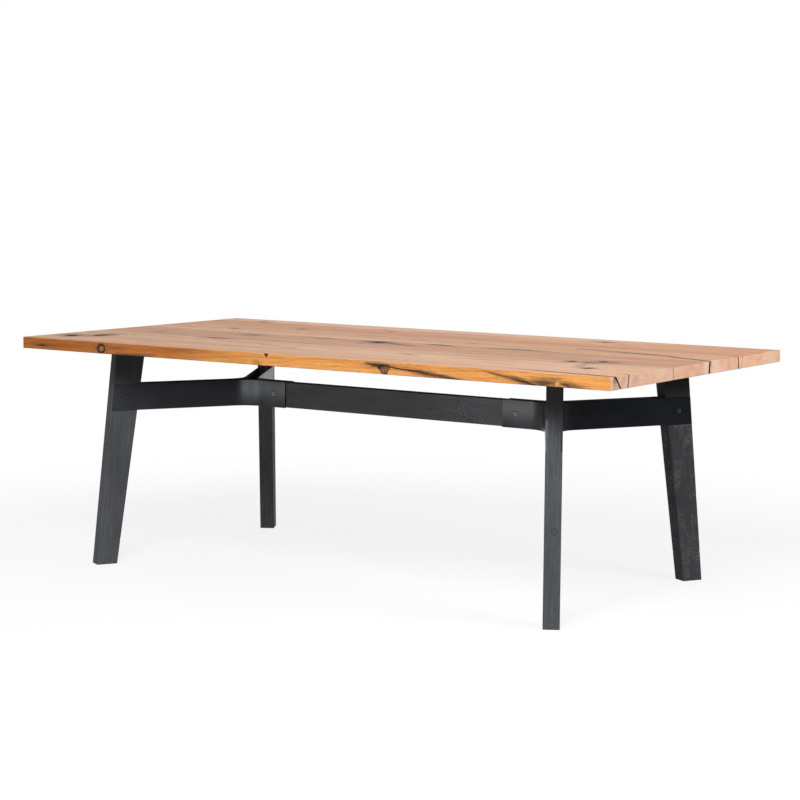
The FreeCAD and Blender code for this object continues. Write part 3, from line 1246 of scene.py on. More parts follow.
    def on_front(self, mark: Mark, x: float, z: float, half_long: float, half_high: float,
                 strength: float = 1.0, turn: float = 0.0) -> Blemish:
        """Returns a mark on the front edge."""
        return Blemish(mark, (x, -self.half_width, z), (half_long, 0.012, half_high), turn, 0.0, strength)

    def on_right_end(self, mark: Mark, y: float, half_wide: float, strength: float) -> Blemish:
        """Returns a mark on the right end face, as deep as the board is thick."""
        middle = (self.surface_z + self.floor_z) / 2
        return Blemish(mark, (self.half_length, y, middle), (0.012, half_wide, 0.05), strength=strength)

    def front_board(self) -> Board:
        """Describes the front plank, whose edge shows most of the old wood's marks.

        Returns:
            The plank.
        """
        seam = self.seams[0]
        marks = each(self.on_top, (
            (KNOT, -1.020, -0.440, 0.034, 0.044, 1.0, 0.4),
            (STREAK, -1.028, -0.425, 0.048, 0.014, 0.9),
            (KNOT, -0.950, -0.362, 0.034, 0.056),
            (STAIN, -0.945, -0.350, 0.045, 0.090, 0.9),
            (STAIN, -1.017, -0.430, 0.080, 0.070, 0.7),
            (STREAK, -0.579, -0.210, 0.065, 0.020, 0.8),
            (SCORCH, -0.634, -0.480, 0.060, 0.026, 0.30),
            (STREAK, -0.280, -0.318, 0.080, 0.007, 0.55, -0.30),
            (STREAK, -0.158, -0.360, 0.040, 0.010, 0.55, -0.20),
            (STREAK, 0.260, -0.320, 0.034, 0.013, 0.60),
            (SCORCH, 0.003, -0.560, 0.060, 0.016, 0.30),
            (STREAK, 0.531, -0.312, 0.100, 0.006, 0.50, 0.14),
            (STREAK, 0.644, -0.405, 0.075, 0.006, 0.45, -0.14),
            (STREAK, 0.520, -0.255, 0.300, 0.009, 0.40, -0.02),
            (STREAK, 0.620, -0.345, 0.260, 0.008, 0.38, -0.03),
            (KNOT, 0.926, -0.372, 0.016, 0.026),
            (STREAK, 0.926, -0.372, 0.035, 0.010, 0.9),
            (STAIN, 0.866, -0.300, 0.022, 0.080, 0.75, 0.25),
            (KNOT, 0.781, -0.207, 0.016, 0.030),
            (STAIN, 0.784, -0.215, 0.042, 0.055, 0.9),
            (STAIN, 0.858, -0.205, 0.055, 0.060),
            (STREAK, 0.839, -0.215, 0.018, 0.022, 0.9),
            (STREAK, -0.55, seam - 0.004, 0.55, 0.007, 0.55),
            (STREAK, 0.75, seam - 0.004, 0.40, 0.006, 0.45),
            (STREAK, 0.900, -0.5345, 0.130, 0.0085, 1.0, -0.11),
            (STREAK, 1.030, -0.5480, 0.110, 0.0095, 1.0, -0.11),
        )) + each(self.on_right_end, ((STAIN, -0.545, 0.020, 0.30), (SAPWOOD, -0.270, 0.060, 0.45)))
        edge_marks = each(self.on_front, (
            (STREAK, -1.027, 0.737, 0.026, 0.0038),
            (SCORCH, -1.019, 0.737, 0.052, 0.008, 0.8),
            (KNOT, -0.765, 0.738, 0.024, 0.016, 0.9),
            (SCORCH, -0.712, 0.7420, 0.050, 0.0050, 0.8),
            (SCORCH, -0.640, 0.722, 0.100, 0.0110),
            (STREAK, -0.620, 0.7215, 0.070, 0.0040, 0.9),
            (SCORCH, -0.127, 0.728, 0.020, 0.012, 0.45),
            (KNOT, 0.332, 0.748, 0.046, 0.008, 0.9),
            (STREAK, 0.401, 0.743, 0.045, 0.0026, 1.0, 0.09),
            (STREAK, 0.508, 0.7325, 0.075, 0.0058, 0.95, 0.125),
            (STREAK, 0.595, 0.7235, 0.065, 0.0040, 0.9, 0.09),
            (SCORCH, 0.515, 0.731, 0.120, 0.0105, 0.85, 0.12),
            (STREAK, 0.744, 0.7455, 0.050, 0.0030, 0.85, 0.16),
            (STREAK, 0.831, 0.7305, 0.060, 0.0042, 1.0, 0.19),
            (SCORCH, 0.836, 0.730, 0.105, 0.0115, 1.0, 0.19),
            (KNOT, 0.898, 0.7295, 0.030, 0.0080, 0.85),
            (SCORCH, 0.900, 0.7330, 0.070, 0.0170),
            (KNOT, 0.968, 0.7290, 0.018, 0.0050, 0.85, 0.2),
            (SCORCH, 0.985, 0.7275, 0.060, 0.0120, 1.0, 0.15),
        ))
        split = ((0.779, -0.522), (0.891, -0.536), (0.993, -0.545), (1.058, -0.550), (self.reach, -0.557))
        cracks = self.grooves(0) + each(self.flat_crack, (
            (split, 0.0056, 0.018, True, (0.6, 1.0)),
            (((-1.069, -0.428), (-1.027, -0.424), (-0.989, -0.421)), 0.0044, 0.008),
            (((-0.970, -0.405), (-0.952, -0.362), (-0.939, -0.300)), 0.0052, 0.008),
            (((0.893, -0.378), (0.926, -0.370), (0.957, -0.362)), 0.0040, 0.008),
            (((-0.624, -0.206), (-0.571, -0.209), (-0.528, -0.205)), 0.0030, 0.006),
            (((-0.345, -0.298), (-0.277, -0.318), (-0.211, -0.340)), 0.0014, 0.003),
        )) + each(self.end_crack, (
            (1, -0.557, -0.516, 0.0068, 0.070),
            (1, -0.470, -0.479, 0.0060, 0.040),
            self.end_joint(0),
            (-1, -0.420, -0.405, 0.0036, 0.040, 0.25),
            (-1, -0.300, -0.306, 0.0018, 0.022, 0.5),
        )) + each(self.edge_crack, (
            (((-1.048, 0.7362), (-1.026, 0.7368), (-1.007, 0.7372)), 0.0022, 0.005),
            (((-0.114, self.floor_z - 0.002), (-0.120, 0.730), (-0.138, 0.7345)), 0.0018, 0.004, True),
            (((0.279, 0.7535), (0.300, 0.7520), (0.322, 0.7490)), 0.0042, 0.004, False, True),
            (((0.369, 0.7455), (0.406, 0.7422), (0.459, 0.7380), (0.503, 0.7330)), 0.0034, 0.007, True),
            (((0.544, 0.7280), (0.585, 0.7240), (0.626, 0.7212)), 0.0020, 0.005),
            (((0.790, 0.7380), (0.833, 0.7302), (0.877, 0.7212)), 0.0024, 0.006, False, True),
        ))
        fan = ((-0.018, 0.0095), (-0.010, 0.003), (0.013, -0.0215), (0.030, -0.0215),
               (0.036, -0.002), (0.042, 0.008), (0.012, 0.0110))
        chip = ((-0.011, 0.006), (0.0, -0.010), (0.010, 0.006))
        hollows = each(self.flat_hollow, (
            (-1.018, -0.438, 0.018, 0.022, 0.006, 0.4),
            (-0.952, -0.368, 0.012, 0.030, 0.006),
            (0.926, -0.372, 0.010, 0.012, 0.005),
            (0.781, -0.207, 0.010, 0.016, 0.005),
        )) + each(self.edge_hollow, (
            (0.333, 0.7405, fan, 0.0032, 2),
            (-0.090, self.surface_z - 0.004, chip, 0.004),
        ))
        finish = OakFinish(
            "oak_front", 3, -0.33, 0.66, 0.035, 0.012,
            OakTones(tone(0.465, 0.262, 0.154), tone(0.595, 0.356, 0.221), tone(0.690, 0.443, 0.293)),
            OakTones(tone(0.58, 0.212, 0.035), tone(0.81, 0.334, 0.072), tone(0.90, 0.406, 0.102)),
            OakTones(tone(0.60, 0.372, 0.266), tone(0.76, 0.475, 0.345), tone(0.84, 0.558, 0.418)),
            browned=1.0, blemishes=marks,
        )
        return Board("top_board_front", finish, edge_marks, cracks, hollows)

    def mid_front_board(self) -> Board:
        """Describes the second plank, the darkest and pinkest one.

        Returns:
            The plank.
        """
        marks = each(self.on_top, (
            (KNOT, -0.568, -0.028, 0.045, 0.028, 0.55),
            (STAIN, -0.582, -0.030, 0.110, 0.050, 0.45),
            (STREAK, -0.303, 0.012, 0.070, 0.016, 0.60),
            (STAIN, -0.813, -0.110, 0.180, 0.030, 0.40),
            (KNOT, -0.058, -0.002, 0.036, 0.044),
            (STREAK, -0.068, 0.006, 0.060, 0.022, 0.95),
            (STREAK, 0.046, -0.036, 0.080, 0.012, 0.75, -0.22),
            (STAIN, -0.053, 0.0, 0.100, 0.080, 0.9),
            (STREAK, 0.163, 0.032, 0.062, 0.018),
            (STREAK, 0.430, 0.036, 0.120, 0.016, 0.85),
            (STAIN, 0.869, -0.165, 0.065, 0.050),
            (STREAK, 0.896, -0.172, 0.030, 0.012, 0.8),
            (STAIN, 0.629, 0.020, 0.160, 0.022, 0.45),
            (KNOT, -0.907, -0.120, 0.020, 0.016, 0.60),
        )) + each(self.on_right_end, ((SAPWOOD, 0.030, 0.016, 1.0),))
        cracks = self.grooves(0) + self.grooves(1) + each(self.flat_crack, (
            (((-0.123, 0.014), (-0.078, 0.004), (-0.023, -0.012), (0.116, -0.050)), 0.0044, 0.008),
            (((0.112, 0.026), (0.158, 0.033), (0.213, 0.034)), 0.0034, 0.006),
        )) + each(self.end_crack, (self.end_joint(1), self.end_joint(0)))
        hollows = each(self.flat_hollow, (
            (-0.061, -0.002, 0.022, 0.020, 0.006),
            (0.861, -0.163, 0.014, 0.018, 0.004),
        ))
        finish = OakFinish(
            "oak_mid_front", 7, -0.09, 0.93, -0.028, 0.016,
            OakTones(tone(0.374, 0.186, 0.107), tone(0.510, 0.263, 0.156), tone(0.614, 0.343, 0.218)),
            OakTones(tone(0.40, 0.150, 0.045), tone(0.66, 0.310, 0.110), tone(0.80, 0.420, 0.170)),
            OakTones(tone(0.67, 0.395, 0.275), tone(0.78, 0.475, 0.335), tone(0.85, 0.550, 0.405)),
            blemishes=marks,
        )
        return Board("top_board_mid_front", finish, (), cracks, hollows)

    def mid_back_board(self) -> Board:
        """Describes the third plank, with a long split that runs in from the right end.

        Returns:
            The plank.
        """
        marks = each(self.on_top, (
            (STREAK, 0.838, 0.160, 0.060, 0.012, 0.9, -0.1),
            (STAIN, 0.786, 0.150, 0.160, 0.026, 0.55, -0.25),
            (STAIN, 0.453, 0.068, 0.080, 0.014, 0.7),
            (KNOT, -0.790, 0.165, 0.022, 0.015, 0.65),
            (KNOT, 0.209, 0.150, 0.016, 0.011, 0.55),
            (STREAK, -0.210, 0.200, 0.080, 0.006, 0.45),
            (STREAK, 0.650, 0.188, 0.085, 0.011, 0.75, -0.20),
            (STREAK, 0.780, 0.166, 0.080, 0.012, 0.85, -0.14),
            (STREAK, 0.955, 0.122, 0.095, 0.012, 0.85, -0.44),
            (STREAK, 1.060, 0.078, 0.060, 0.011, 0.85, -0.38),
            (SAPWOOD, -0.30, self.seams[1] + 0.012, 0.75, 0.014, 0.8),
        )) + each(self.on_right_end, ((SAPWOOD, 0.090, 0.034, 0.9),))
        split = ((0.577, 0.200), (0.702, 0.176), (0.796, 0.163),
                 (0.885, 0.150), (0.997, 0.100), (self.reach, 0.058))
        cracks = self.grooves(1) + self.grooves(2) + each(self.flat_crack, (
            (split, 0.0052, 0.012, True, (0.5, 1.0)),
            (((-0.847, 0.166), (-0.790, 0.164), (-0.714, 0.168)), 0.0018, 0.004),
        )) + each(self.end_crack, (
            self.end_joint(1),
            self.end_joint(2),
            (-1, 0.150, 0.158, 0.0016, 0.020, 0.4),
        ))
        hollows = (self.flat_hollow(-0.790, 0.165, 0.008, 0.006, 0.003),)
        finish = OakFinish(
            "oak_mid_back", 11, 0.19, 0.60, 0.022, -0.02,
            OakTones(tone(0.470, 0.250, 0.135), tone(0.612, 0.348, 0.198), tone(0.704, 0.431, 0.261)),
            OakTones(tone(0.40, 0.150, 0.045), tone(0.66, 0.310, 0.110), tone(0.80, 0.420, 0.170)),
            OakTones(tone(0.71, 0.425, 0.295), tone(0.82, 0.505, 0.355), tone(0.88, 0.590, 0.440)),
            blemishes=marks,
        )
        return Board("top_board_mid_back", finish, (), cracks, hollows)

    def back_board(self) -> Board:
        """Describes the back plank, reddish, with paler wood along its back edge.

        Returns:
            The plank.
        """
        marks = each(self.on_top, (
            (SAPWOOD, -0.230, 0.535, 1.100, 0.060, 0.75),
            (STREAK, -0.594, 0.292, 0.024, 0.024, 0.75),
            (KNOT, 0.522, 0.484, 0.020, 0.020, 0.80),
            (STREAK, 0.522, 0.484, 0.050, 0.014, 0.70),
            (KNOT, -0.278, 0.400, 0.024, 0.015, 0.55),
            (KNOT, -0.904, 0.480, 0.030, 0.018, 0.70),
            (STAIN, 0.048, 0.330, 0.160, 0.024, 0.30),
        )) + each(self.on_right_end, ((SAPWOOD, 0.500, 0.050, 0.6),))
        back = self.half_width
        edge_marks = each(Blemish, (
            (STREAK, (0.250, back, 0.742), (0.120, 0.02, 0.004), -0.08, 0.0, 0.8),
            (KNOT, (-0.420, back, 0.738), (0.030, 0.03, 0.010), 0.0, 0.0, 0.8),
            (SCORCH, (0.560, back, 0.726), (0.120, 0.02, 0.007), 0.0, 0.0, 0.7),
        ))
        cracks = self.grooves(2) + each(self.flat_crack, (
            (((-0.979, 0.478), (-0.904, 0.482), (-0.809, 0.476)), 0.0026, 0.006),
            (((0.473, 0.482), (0.522, 0.486), (0.576, 0.483)), 0.0030, 0.006),
            (((0.890, 0.300), (0.985, 0.303), (self.reach, 0.299)), 0.0016, 0.008, True),
        )) + each(self.end_crack, (
            self.end_joint(2),
            (1, 0.290, 0.285, 0.0026, 0.030, 0.5),
            (-1, 0.430, 0.420, 0.0030, 0.050),
        ))
        hollows = each(self.flat_hollow, (
            (0.522, 0.484, 0.010, 0.009, 0.004),
            (-0.904, 0.480, 0.014, 0.008, 0.004),
        ))
        finish = OakFinish(
            "oak_back", 17, 0.44, 0.90, 0.030, 0.014,
            OakTones(tone(0.467, 0.213, 0.107), tone(0.610, 0.307, 0.168), tone(0.700, 0.396, 0.238)),
            OakTones(tone(0.50, 0.190, 0.050), tone(0.76, 0.360, 0.115), tone(0.86, 0.460, 0.180)),
            OakTones(tone(0.77, 0.452, 0.300), tone(0.885, 0.537, 0.362), tone(0.93, 0.612, 0.440)),
            blemishes=marks,
        )
        return Board("top_board_back", finish, edge_marks, cracks, hollows)

    def inlays(self) -> tuple[Inlay, ...]:
        """Returns the rounds of wood that show in the front edge."""
        return (
            Inlay("knot_ringed", -0.764, 0.7375, 0.0108, 0.0098, 0.0064,
                  tone(0.36, 0.155, 0.060), tone(0.24, 0.095, 0.036), rough=0.08),
            Inlay("knot_plug", 0.939, 0.7290, 0.0088, 0.0092, 0.0009,
                  tone(0.66, 0.355, 0.130), tone(0.55, 0.28, 0.098), sunk=0.0002),
        )

    def build(self) -> None:
        """Builds and dresses the whole slab."""
        # Linings of cracks, open knots and the fan knot; the first two are near black, partly painted shade
        # inside the hollows.
        finishes = (
            TornFinish("oak_crack", tone(0.007, 0.004, 0.003), tone(0.050, 0.025, 0.012),
                       (40.0, 400.0, 400.0)),
            TornFinish("oak_open_knot", tone(0.012, 0.007, 0.006), tone(0.12, 0.055, 0.024),
                       (330.0, 200.0, 50.0)),
            FanFinish("oak_fan_knot", 0.355, self.floor_z - 0.006),
        )
        linings = tuple(finish.material() for finish in finishes)
        face_y = -self.half_width
        inlays = self.inlays()
        front = self.front_board()
        front.hollows += tuple(inlay.seat(face_y) for inlay in inlays)
        for board in (front, self.mid_front_board(), self.mid_back_board(), self.back_board()):
            piece = board.build(linings)
            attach(piece, BODY)
            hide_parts(board.node)
            LOG.info("plank %s: %d faces", board.node, len(piece.data.polygons))
        for inlay in inlays:
            piece = inlay.build(face_y, self.floor_z)
            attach(piece, BODY)
            LOG.info("inlay %s", inlay.name)


@dataclass
class BaseSizes:
    """Sizes that the legs, bars and stretcher share, in metres."""

    fork_centre_x: float = 0.600
    spread: float = math.radians(60.0)
    leg_thickness: float = 0.050
    leg_top_width: float = 0.100
    leg_foot_width: float = 0.070
    leg_top_reach: float = 0.438
    leg_foot_reach: float = 0.526
    bar_thickness: float = 0.006
    bend_radius: float = 0.090
    stretcher_reach: float = 0.170
    stretcher_gap: float = 0.014
    bolt_inset: float = 0.049
    head_radius: float = 0.00775
    head_depth: float = 0.0035
    leg_top_z: float = field(init=False)
    bar_low_z: float = field(init=False)
    bar_high_z: float = field(init=False)

    def __post_init__(self) -> None:
        """Reads the heights from the solids."""
        self.leg_top_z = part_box("leg_front_left")[1].z
        low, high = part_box("fork_bar_left")
        self.bar_low_z, self.bar_high_z = low.z, high.z

    @property
    def bar_mid_z(self) -> float:
        """Height of the middle of the bars."""
        return (self.bar_low_z + self.bar_high_z) / 2

    @property
    def half_stack(self) -> float:
        """Half the thickness of a leg or of two bars with what they clamp."""
        return self.leg_thickness / 2

    def centre(self, end: int) -> Vector:
        """Returns the middle of the Y at an end."""
        return Vector((end * self.fork_centre_x, 0.0, 0.0))

    def along(self, end: int, side: int) -> Vector:
        """Returns the direction of an arm of a Y."""
        return Vector((end * math.cos(self.spread), side * math.sin(self.spread), 0.0))

    def middle_reach(self, z: float) -> float:
        """Returns how far out the middle line of a leg is at a height."""
        return self.leg_foot_reach + (self.leg_top_reach - self.leg_foot_reach) * (z / self.leg_top_z)

    def half_width(self, z: float) -> float:
        """Returns half the width of a leg at a height."""
        return (self.leg_foot_width + (self.leg_top_width - self.leg_foot_width) * (z / self.leg_top_z)) / 2

    def outer_reach(self, z: float) -> float:
        """Returns how far out the outer face of a leg is at a height."""
        return self.middle_reach(z) + self.half_width(z)


LEGS = {"front_left": (-1, -1), "front_right": (1, -1), "back_left": (-1, 1), "back_right": (1, 1)}


@dataclass
class Leg:
    """One tapered post, stained black, with its fibres along its own middle line.

    It has small dents on its edges, which keep off the bars. A knot height above zero cuts the ring groove
    of a sound knot into its outer face.
    """

    name: str
    sizes: BaseSizes
    seed: int
    knot_height: float = 0.0
    knot_aside: float = 0.004
    knot_radius: float = 0.0075
    knot_stretch: float = 1.25
    knot_groove: float = 0.0016
    knot_count: int = 28
    groove_count: int = 8
    nicks: int = 9
    nick_heights: Pair = (0.02, 0.70)
    nick_sizes: Pair = (0.0012, 0.0026)
    nick_stretch: Pair = (2.0, 5.0)
    bar_margin: float = 0.09
    bar_dodge: float = 0.25
    ease: float = 0.0008

    def placement(self) -> Matrix:
        """Finds the place of the post.

        Returns:
            Its matrix: Z up from its foot, X outwards, Y through its thickness.
        """
        end, side = LEGS[self.name]
        along = self.sizes.along(end, side)
        foot = self.sizes.centre(end) + along * self.sizes.leg_foot_reach
        through = Vector((-along.y, along.x, 0.0))
        turned = Matrix((along, through, Vector(UP))).transposed().to_4x4()
        return Matrix.Translation(foot) @ turned

    def nick(self, shape: WorkMesh, rng: random.Random) -> None:
        """Adds the room of a small dent on an edge to a cutter.

        Args:
            shape: the cutter.
            rng: source of its place and size.
        """
        sizes = self.sizes
        height = rng.uniform(*self.nick_heights)
        if abs(height - sizes.bar_mid_z) < self.bar_margin:
            height -= self.bar_dodge
        middle = sizes.middle_reach(height) - sizes.leg_foot_reach
        x = middle + rng.choice((-1, 1)) * sizes.half_width(height)
        y = rng.choice((-1, 1)) * sizes.half_stack
        size = rng.uniform(*self.nick_sizes)
        scale = Matrix.Diagonal((size, size, size * rng.uniform(*self.nick_stretch), 1.0))
        place = Matrix.Translation((x, y, height)) @ scale
        bmesh.ops.create_icosphere(shape, subdivisions=2, radius=1.0, matrix=place)

    def knot(self, shape: WorkMesh) -> None:
        """Adds the ring groove of a small sound knot on the outer face to a cutter.

        Args:
            shape: the cutter.
        """
        sizes, groove = self.sizes, self.knot_groove
        reach = sizes.outer_reach(self.knot_height) - sizes.leg_foot_reach
        middle = Vector((reach, self.knot_aside, self.knot_height))
        rise = Vector((sizes.outer_reach(1.0) - sizes.outer_reach(0.0), 0.0, 1.0)).normalized()
        aside = Vector((0.0, 1.0, 0.0))
        outward = aside.cross(rise)
        loops = []
        for u, v in around(self.knot_count):
            away = aside * u + rise * (self.knot_stretch * v)
            loop = []
            for a, b in around(self.groove_count):
                spot = away * (self.knot_radius + groove * a) + outward * (groove * b)
                loop.append(shape.verts.new(middle + spot))
            loops.append(loop)
        for near, far in zip(loops, loops[1:] + loops[:1]):
            wall(shape, near, far)

    def build(self, finish: Material) -> Piece:
        """Builds the post with eased edges and the small dents of use.

        Args:
            finish: its material.

        Returns:
            The piece.
        """
        rng = random.Random(self.seed)
        place = self.placement()
        shape = cad_copy("leg_" + self.name)
        shape.transform(place.inverted())
        piece = link("leg_" + self.name + "_oak", as_mesh(shape, self.name), finish)
        dents = bmesh.new()
        for _ in range(self.nicks):
            self.nick(dents, rng)
        if self.knot_height:
            self.knot(dents)
        carve(piece, link("dents", as_mesh(dents, "dents"), finish))
        piece.matrix_world = place
        soften(piece, self.ease)
        return piece


@dataclass
class FlatBar:
    """A flat steel bar on edge that bends round one opening of a Y, from a leg to a leg or the stretcher."""

    name: str
    sizes: BaseSizes
    end: int
    first: Vector
    second: Vector
    second_is_leg: bool
    edge_radius: float = 0.0009
    edge_steps: int = 3
    bend_steps: int = 20
    run_steps: int = 8
    end_inset: float = 0.0004
    seat_flare: float = 0.0014
    seat_overrun: float = 0.002
    seat_count: int = 40

    @property
    def bisector(self) -> Vector:
        """The direction halfway between the two arms."""
        return (self.first + self.second).normalized()

    @property
    def bend_offset(self) -> float:
        """Distance of the bend's axis from the middle planes of the arms."""
        return self.sizes.half_stack + self.sizes.bend_radius

    def inward(self, along: Vector) -> Vector:
        """Returns the direction from an arm's middle plane into the opening."""
        return (self.bisector - along * self.bisector.dot(along)).normalized()

    def section(self) -> list[Pair]:
        """Draws the outline across the bar, with rounded edges.

        Returns:
            Depth from the bar's open face and height of each corner.
        """
        sizes, soft = self.sizes, self.edge_radius
        thin, thick = soft, sizes.bar_thickness - soft
        low, high = sizes.bar_low_z + soft, sizes.bar_high_z - soft
        points = []
        for depth, height, start in ((thin, low, 180), (thick, low, 270), (thick, high, 0), (thin, high, 90)):
            for step in range(self.edge_steps + 1):
                turn = math.radians(start + 90 * step / self.edge_steps)
                points.append((depth + soft * math.cos(turn), height + soft * math.sin(turn)))
        return points

    def arm_ring(self, shape: WorkMesh, along: Vector, is_leg: bool, share: float) -> Ring:
        """Adds one ring of the straight run along an arm.

        Args:
            shape: the working mesh.
            along: direction of the arm.
            is_leg: whether it runs to a leg, whose outer face it ends flush with.
            share: share of the way from the bend to the end.

        Returns:
            The ring.
        """
        sizes, inward = self.sizes, self.inward(along)
        start = self.bend_offset / math.tan(self.first.angle(self.bisector))
        ring = []
        for depth, height in self.section():
            stop = sizes.outer_reach(height) - self.end_inset if is_leg else sizes.stretcher_reach
            middle = sizes.centre(self.end) + along * (start + (stop - start) * share)
            spot = middle + inward * (sizes.half_stack - depth) + Vector(UP) * height
            ring.append(shape.verts.new(spot))
        return ring

    def bend_ring(self, shape: WorkMesh, share: float) -> Ring:
        """Adds one ring of the bend.

        Args:
            shape: the working mesh.
            share: share of the way round.

        Returns:
            The ring.
        """
        away = self.bend_offset / math.sin(self.first.angle(self.bisector))
        axis = self.sizes.centre(self.end) + self.bisector * away
        radial = (-self.inward(self.first)).slerp(-self.inward(self.second), share)
        ring = []
        for depth, height in self.section():
            spot = axis + radial * (self.sizes.bend_radius + depth) + Vector(UP) * height
            ring.append(shape.verts.new(spot))
        return ring

    def seat(self, shape: WorkMesh, along: Vector, is_leg: bool) -> None:
        """Adds the room of one flush bolt head, with a flared mouth, to a cutter.

        Args:
            shape: the cutter.
            along: direction of the arm that the bolt goes through.
            is_leg: whether the arm runs to a leg.
        """
        sizes, up, flare, over = self.sizes, Vector(UP), self.seat_flare, self.seat_overrun
        outward = self.inward(along)
        across = outward.cross(up).normalized()
        reach = sizes.middle_reach(sizes.bar_mid_z) if is_leg else sizes.stretcher_reach - sizes.bolt_inset
        mouth = sizes.centre(self.end) + along * reach + outward * sizes.half_stack + up * sizes.bar_mid_z
        rings = []
        for level, grow in ((over, flare + over), (0.0, flare), (-flare, 0.0), (-sizes.head_depth, 0.0)):
            wide = sizes.head_radius + grow
            ring = []
            for u, v in around(self.seat_count):
                spot = mouth + outward * level + across * (wide * u) + up * (wide * v)
                ring.append(shape.verts.new(spot))
            rings.append(ring)
        skin(shape, rings)

    def build(self, finish: Material, gap: Material) -> Piece:
        """Sweeps the section round the bend and sinks the seats of the clamp bolts.

        Args:
            finish: its material.
            gap: material of the gap round the bolt heads, near black as painted shade.

        Returns:
            The piece.
        """
        shape = bmesh.new()
        arms = ((self.first, True), (self.second, self.second_is_leg))
        shares = [step / self.run_steps for step in range(1, self.run_steps + 1)]
        rings = [self.arm_ring(shape, *arms[0], share) for share in reversed(shares)]
        rings += [self.bend_ring(shape, step / self.bend_steps) for step in range(self.bend_steps + 1)]
        rings += [self.arm_ring(shape, *arms[1], share) for share in shares]
        skin(shape, rings)
        piece = link(self.name + "_coated", as_mesh(shape, self.name), finish)
        seats = bmesh.new()
        for along, is_leg in arms:
            self.seat(seats, along, is_leg)
        carve(piece, link("seats", as_mesh(seats, "seats"), gap))
        smooth_by_angle(piece, 30.0)
        return piece


@dataclass
class Stretcher:
    """The rough sawn beam along the centre, with the marks of the saw on its faces."""

    sizes: BaseSizes
    mark_depth: float = 0.0007
    mark_pitch: float = 0.0075
    mark_slant: float = 0.35
    mark_waver: float = 0.004
    bar_margin: float = 0.004
    fade_length: float = 0.02
    stations: int = 420
    across: int = 14
    up: int = 30
    ease: float = 0.0016

    def dip(self, x: float, z: float, half_length: float, phase: float) -> float:
        """Finds how deep the saw left a point of a face.

        Args:
            x: place along the beam.
            z: place round its section.
            half_length: half the length of the beam.
            phase: start of the waves.

        Returns:
            The depth, zero under the bars.
        """
        clamp = half_length - (self.sizes.stretcher_reach - self.sizes.stretcher_gap) - self.bar_margin
        fade = max(0.0, min(1.0, (clamp - abs(x)) / self.fade_length))
        place = x + self.mark_slant * z + self.mark_waver * math.sin(9.0 * x + phase)
        wave = math.sin(2 * math.pi * place / self.mark_pitch)
        patch = 0.5 + 0.5 * math.sin(5.3 * x + phase) * math.sin(2.1 * x + 2.0 * phase)
        right = 0.45 + 0.55 * max(0.0, min(1.0, (x - 0.1) / 0.35))
        fine = 0.35 * math.sin(61.0 * x + 170.0 * z + phase) * math.sin(23.0 * x)
        rough = 0.5 + 0.5 * wave * patch * right + 0.25 * fine
        return self.mark_depth * fade * rough * (0.4 + 0.6 * right)

    def section(self, low: Vector, high: Vector) -> list[tuple[Pair, Pair]]:
        """Draws the outline across the beam.

        Args:
            low: lowest corner of the beam.
            high: highest corner of the beam.

        Returns:
            Each corner's y and z, and the direction into the wood there.
        """
        inner_y, low_z, high_z = high.y - self.ease, low.z + self.ease, high.z - self.ease
        sides = (
            ((-high.y, low_z), (-high.y, high_z), self.up, (1.0, 0.0)),
            ((-inner_y, high.z), (inner_y, high.z), self.across, (0.0, -1.0)),
            ((high.y, high_z), (high.y, low_z), self.up, (-1.0, 0.0)),
            ((inner_y, low.z), (-inner_y, low.z), self.across, (0.0, 1.0)),
        )
        points = []
        for (y0, z0), (y1, z1), count, push in sides:
            for step in range(count + 1):
                share = step / count
                points.append(((y0 + (y1 - y0) * share, z0 + (z1 - z0) * share), push))
        return points

    def build(self, finish: Material) -> Piece:
        """Sweeps the section along the beam and lets the saw marks into it.

        Args:
            finish: its material.

        Returns:
            The piece.
        """
        low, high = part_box("stretcher")
        section = self.section(low, high)
        shape = bmesh.new()
        rings = []
        for station in range(self.stations + 1):
            x = -high.x + 2 * high.x * station / self.stations
            ring = []
            for (y, z), (push_y, push_z) in section:
                depth = self.dip(x, z + y, high.x, 1.3 if push_y > 0 else 4.1)
                ring.append(shape.verts.new((x, y + push_y * depth, z + push_z * depth * 0.5)))
            rings.append(ring)
        skin(shape, rings)
        piece = link("stretcher_oak", as_mesh(shape, "stretcher"), finish)
        smooth_by_angle(piece, 40.0)
        return piece


@dataclass(frozen=True)
class LegWearAndLight:
    """What a leg carries: its scuffs, where a knot is, and painted light: the factor on its stain for the
    light where it stands and the share of painted shade at its top.
    """

    scuffed: float
    lift: float
    painted_shade_share: float
    knot_height: float = 0.0


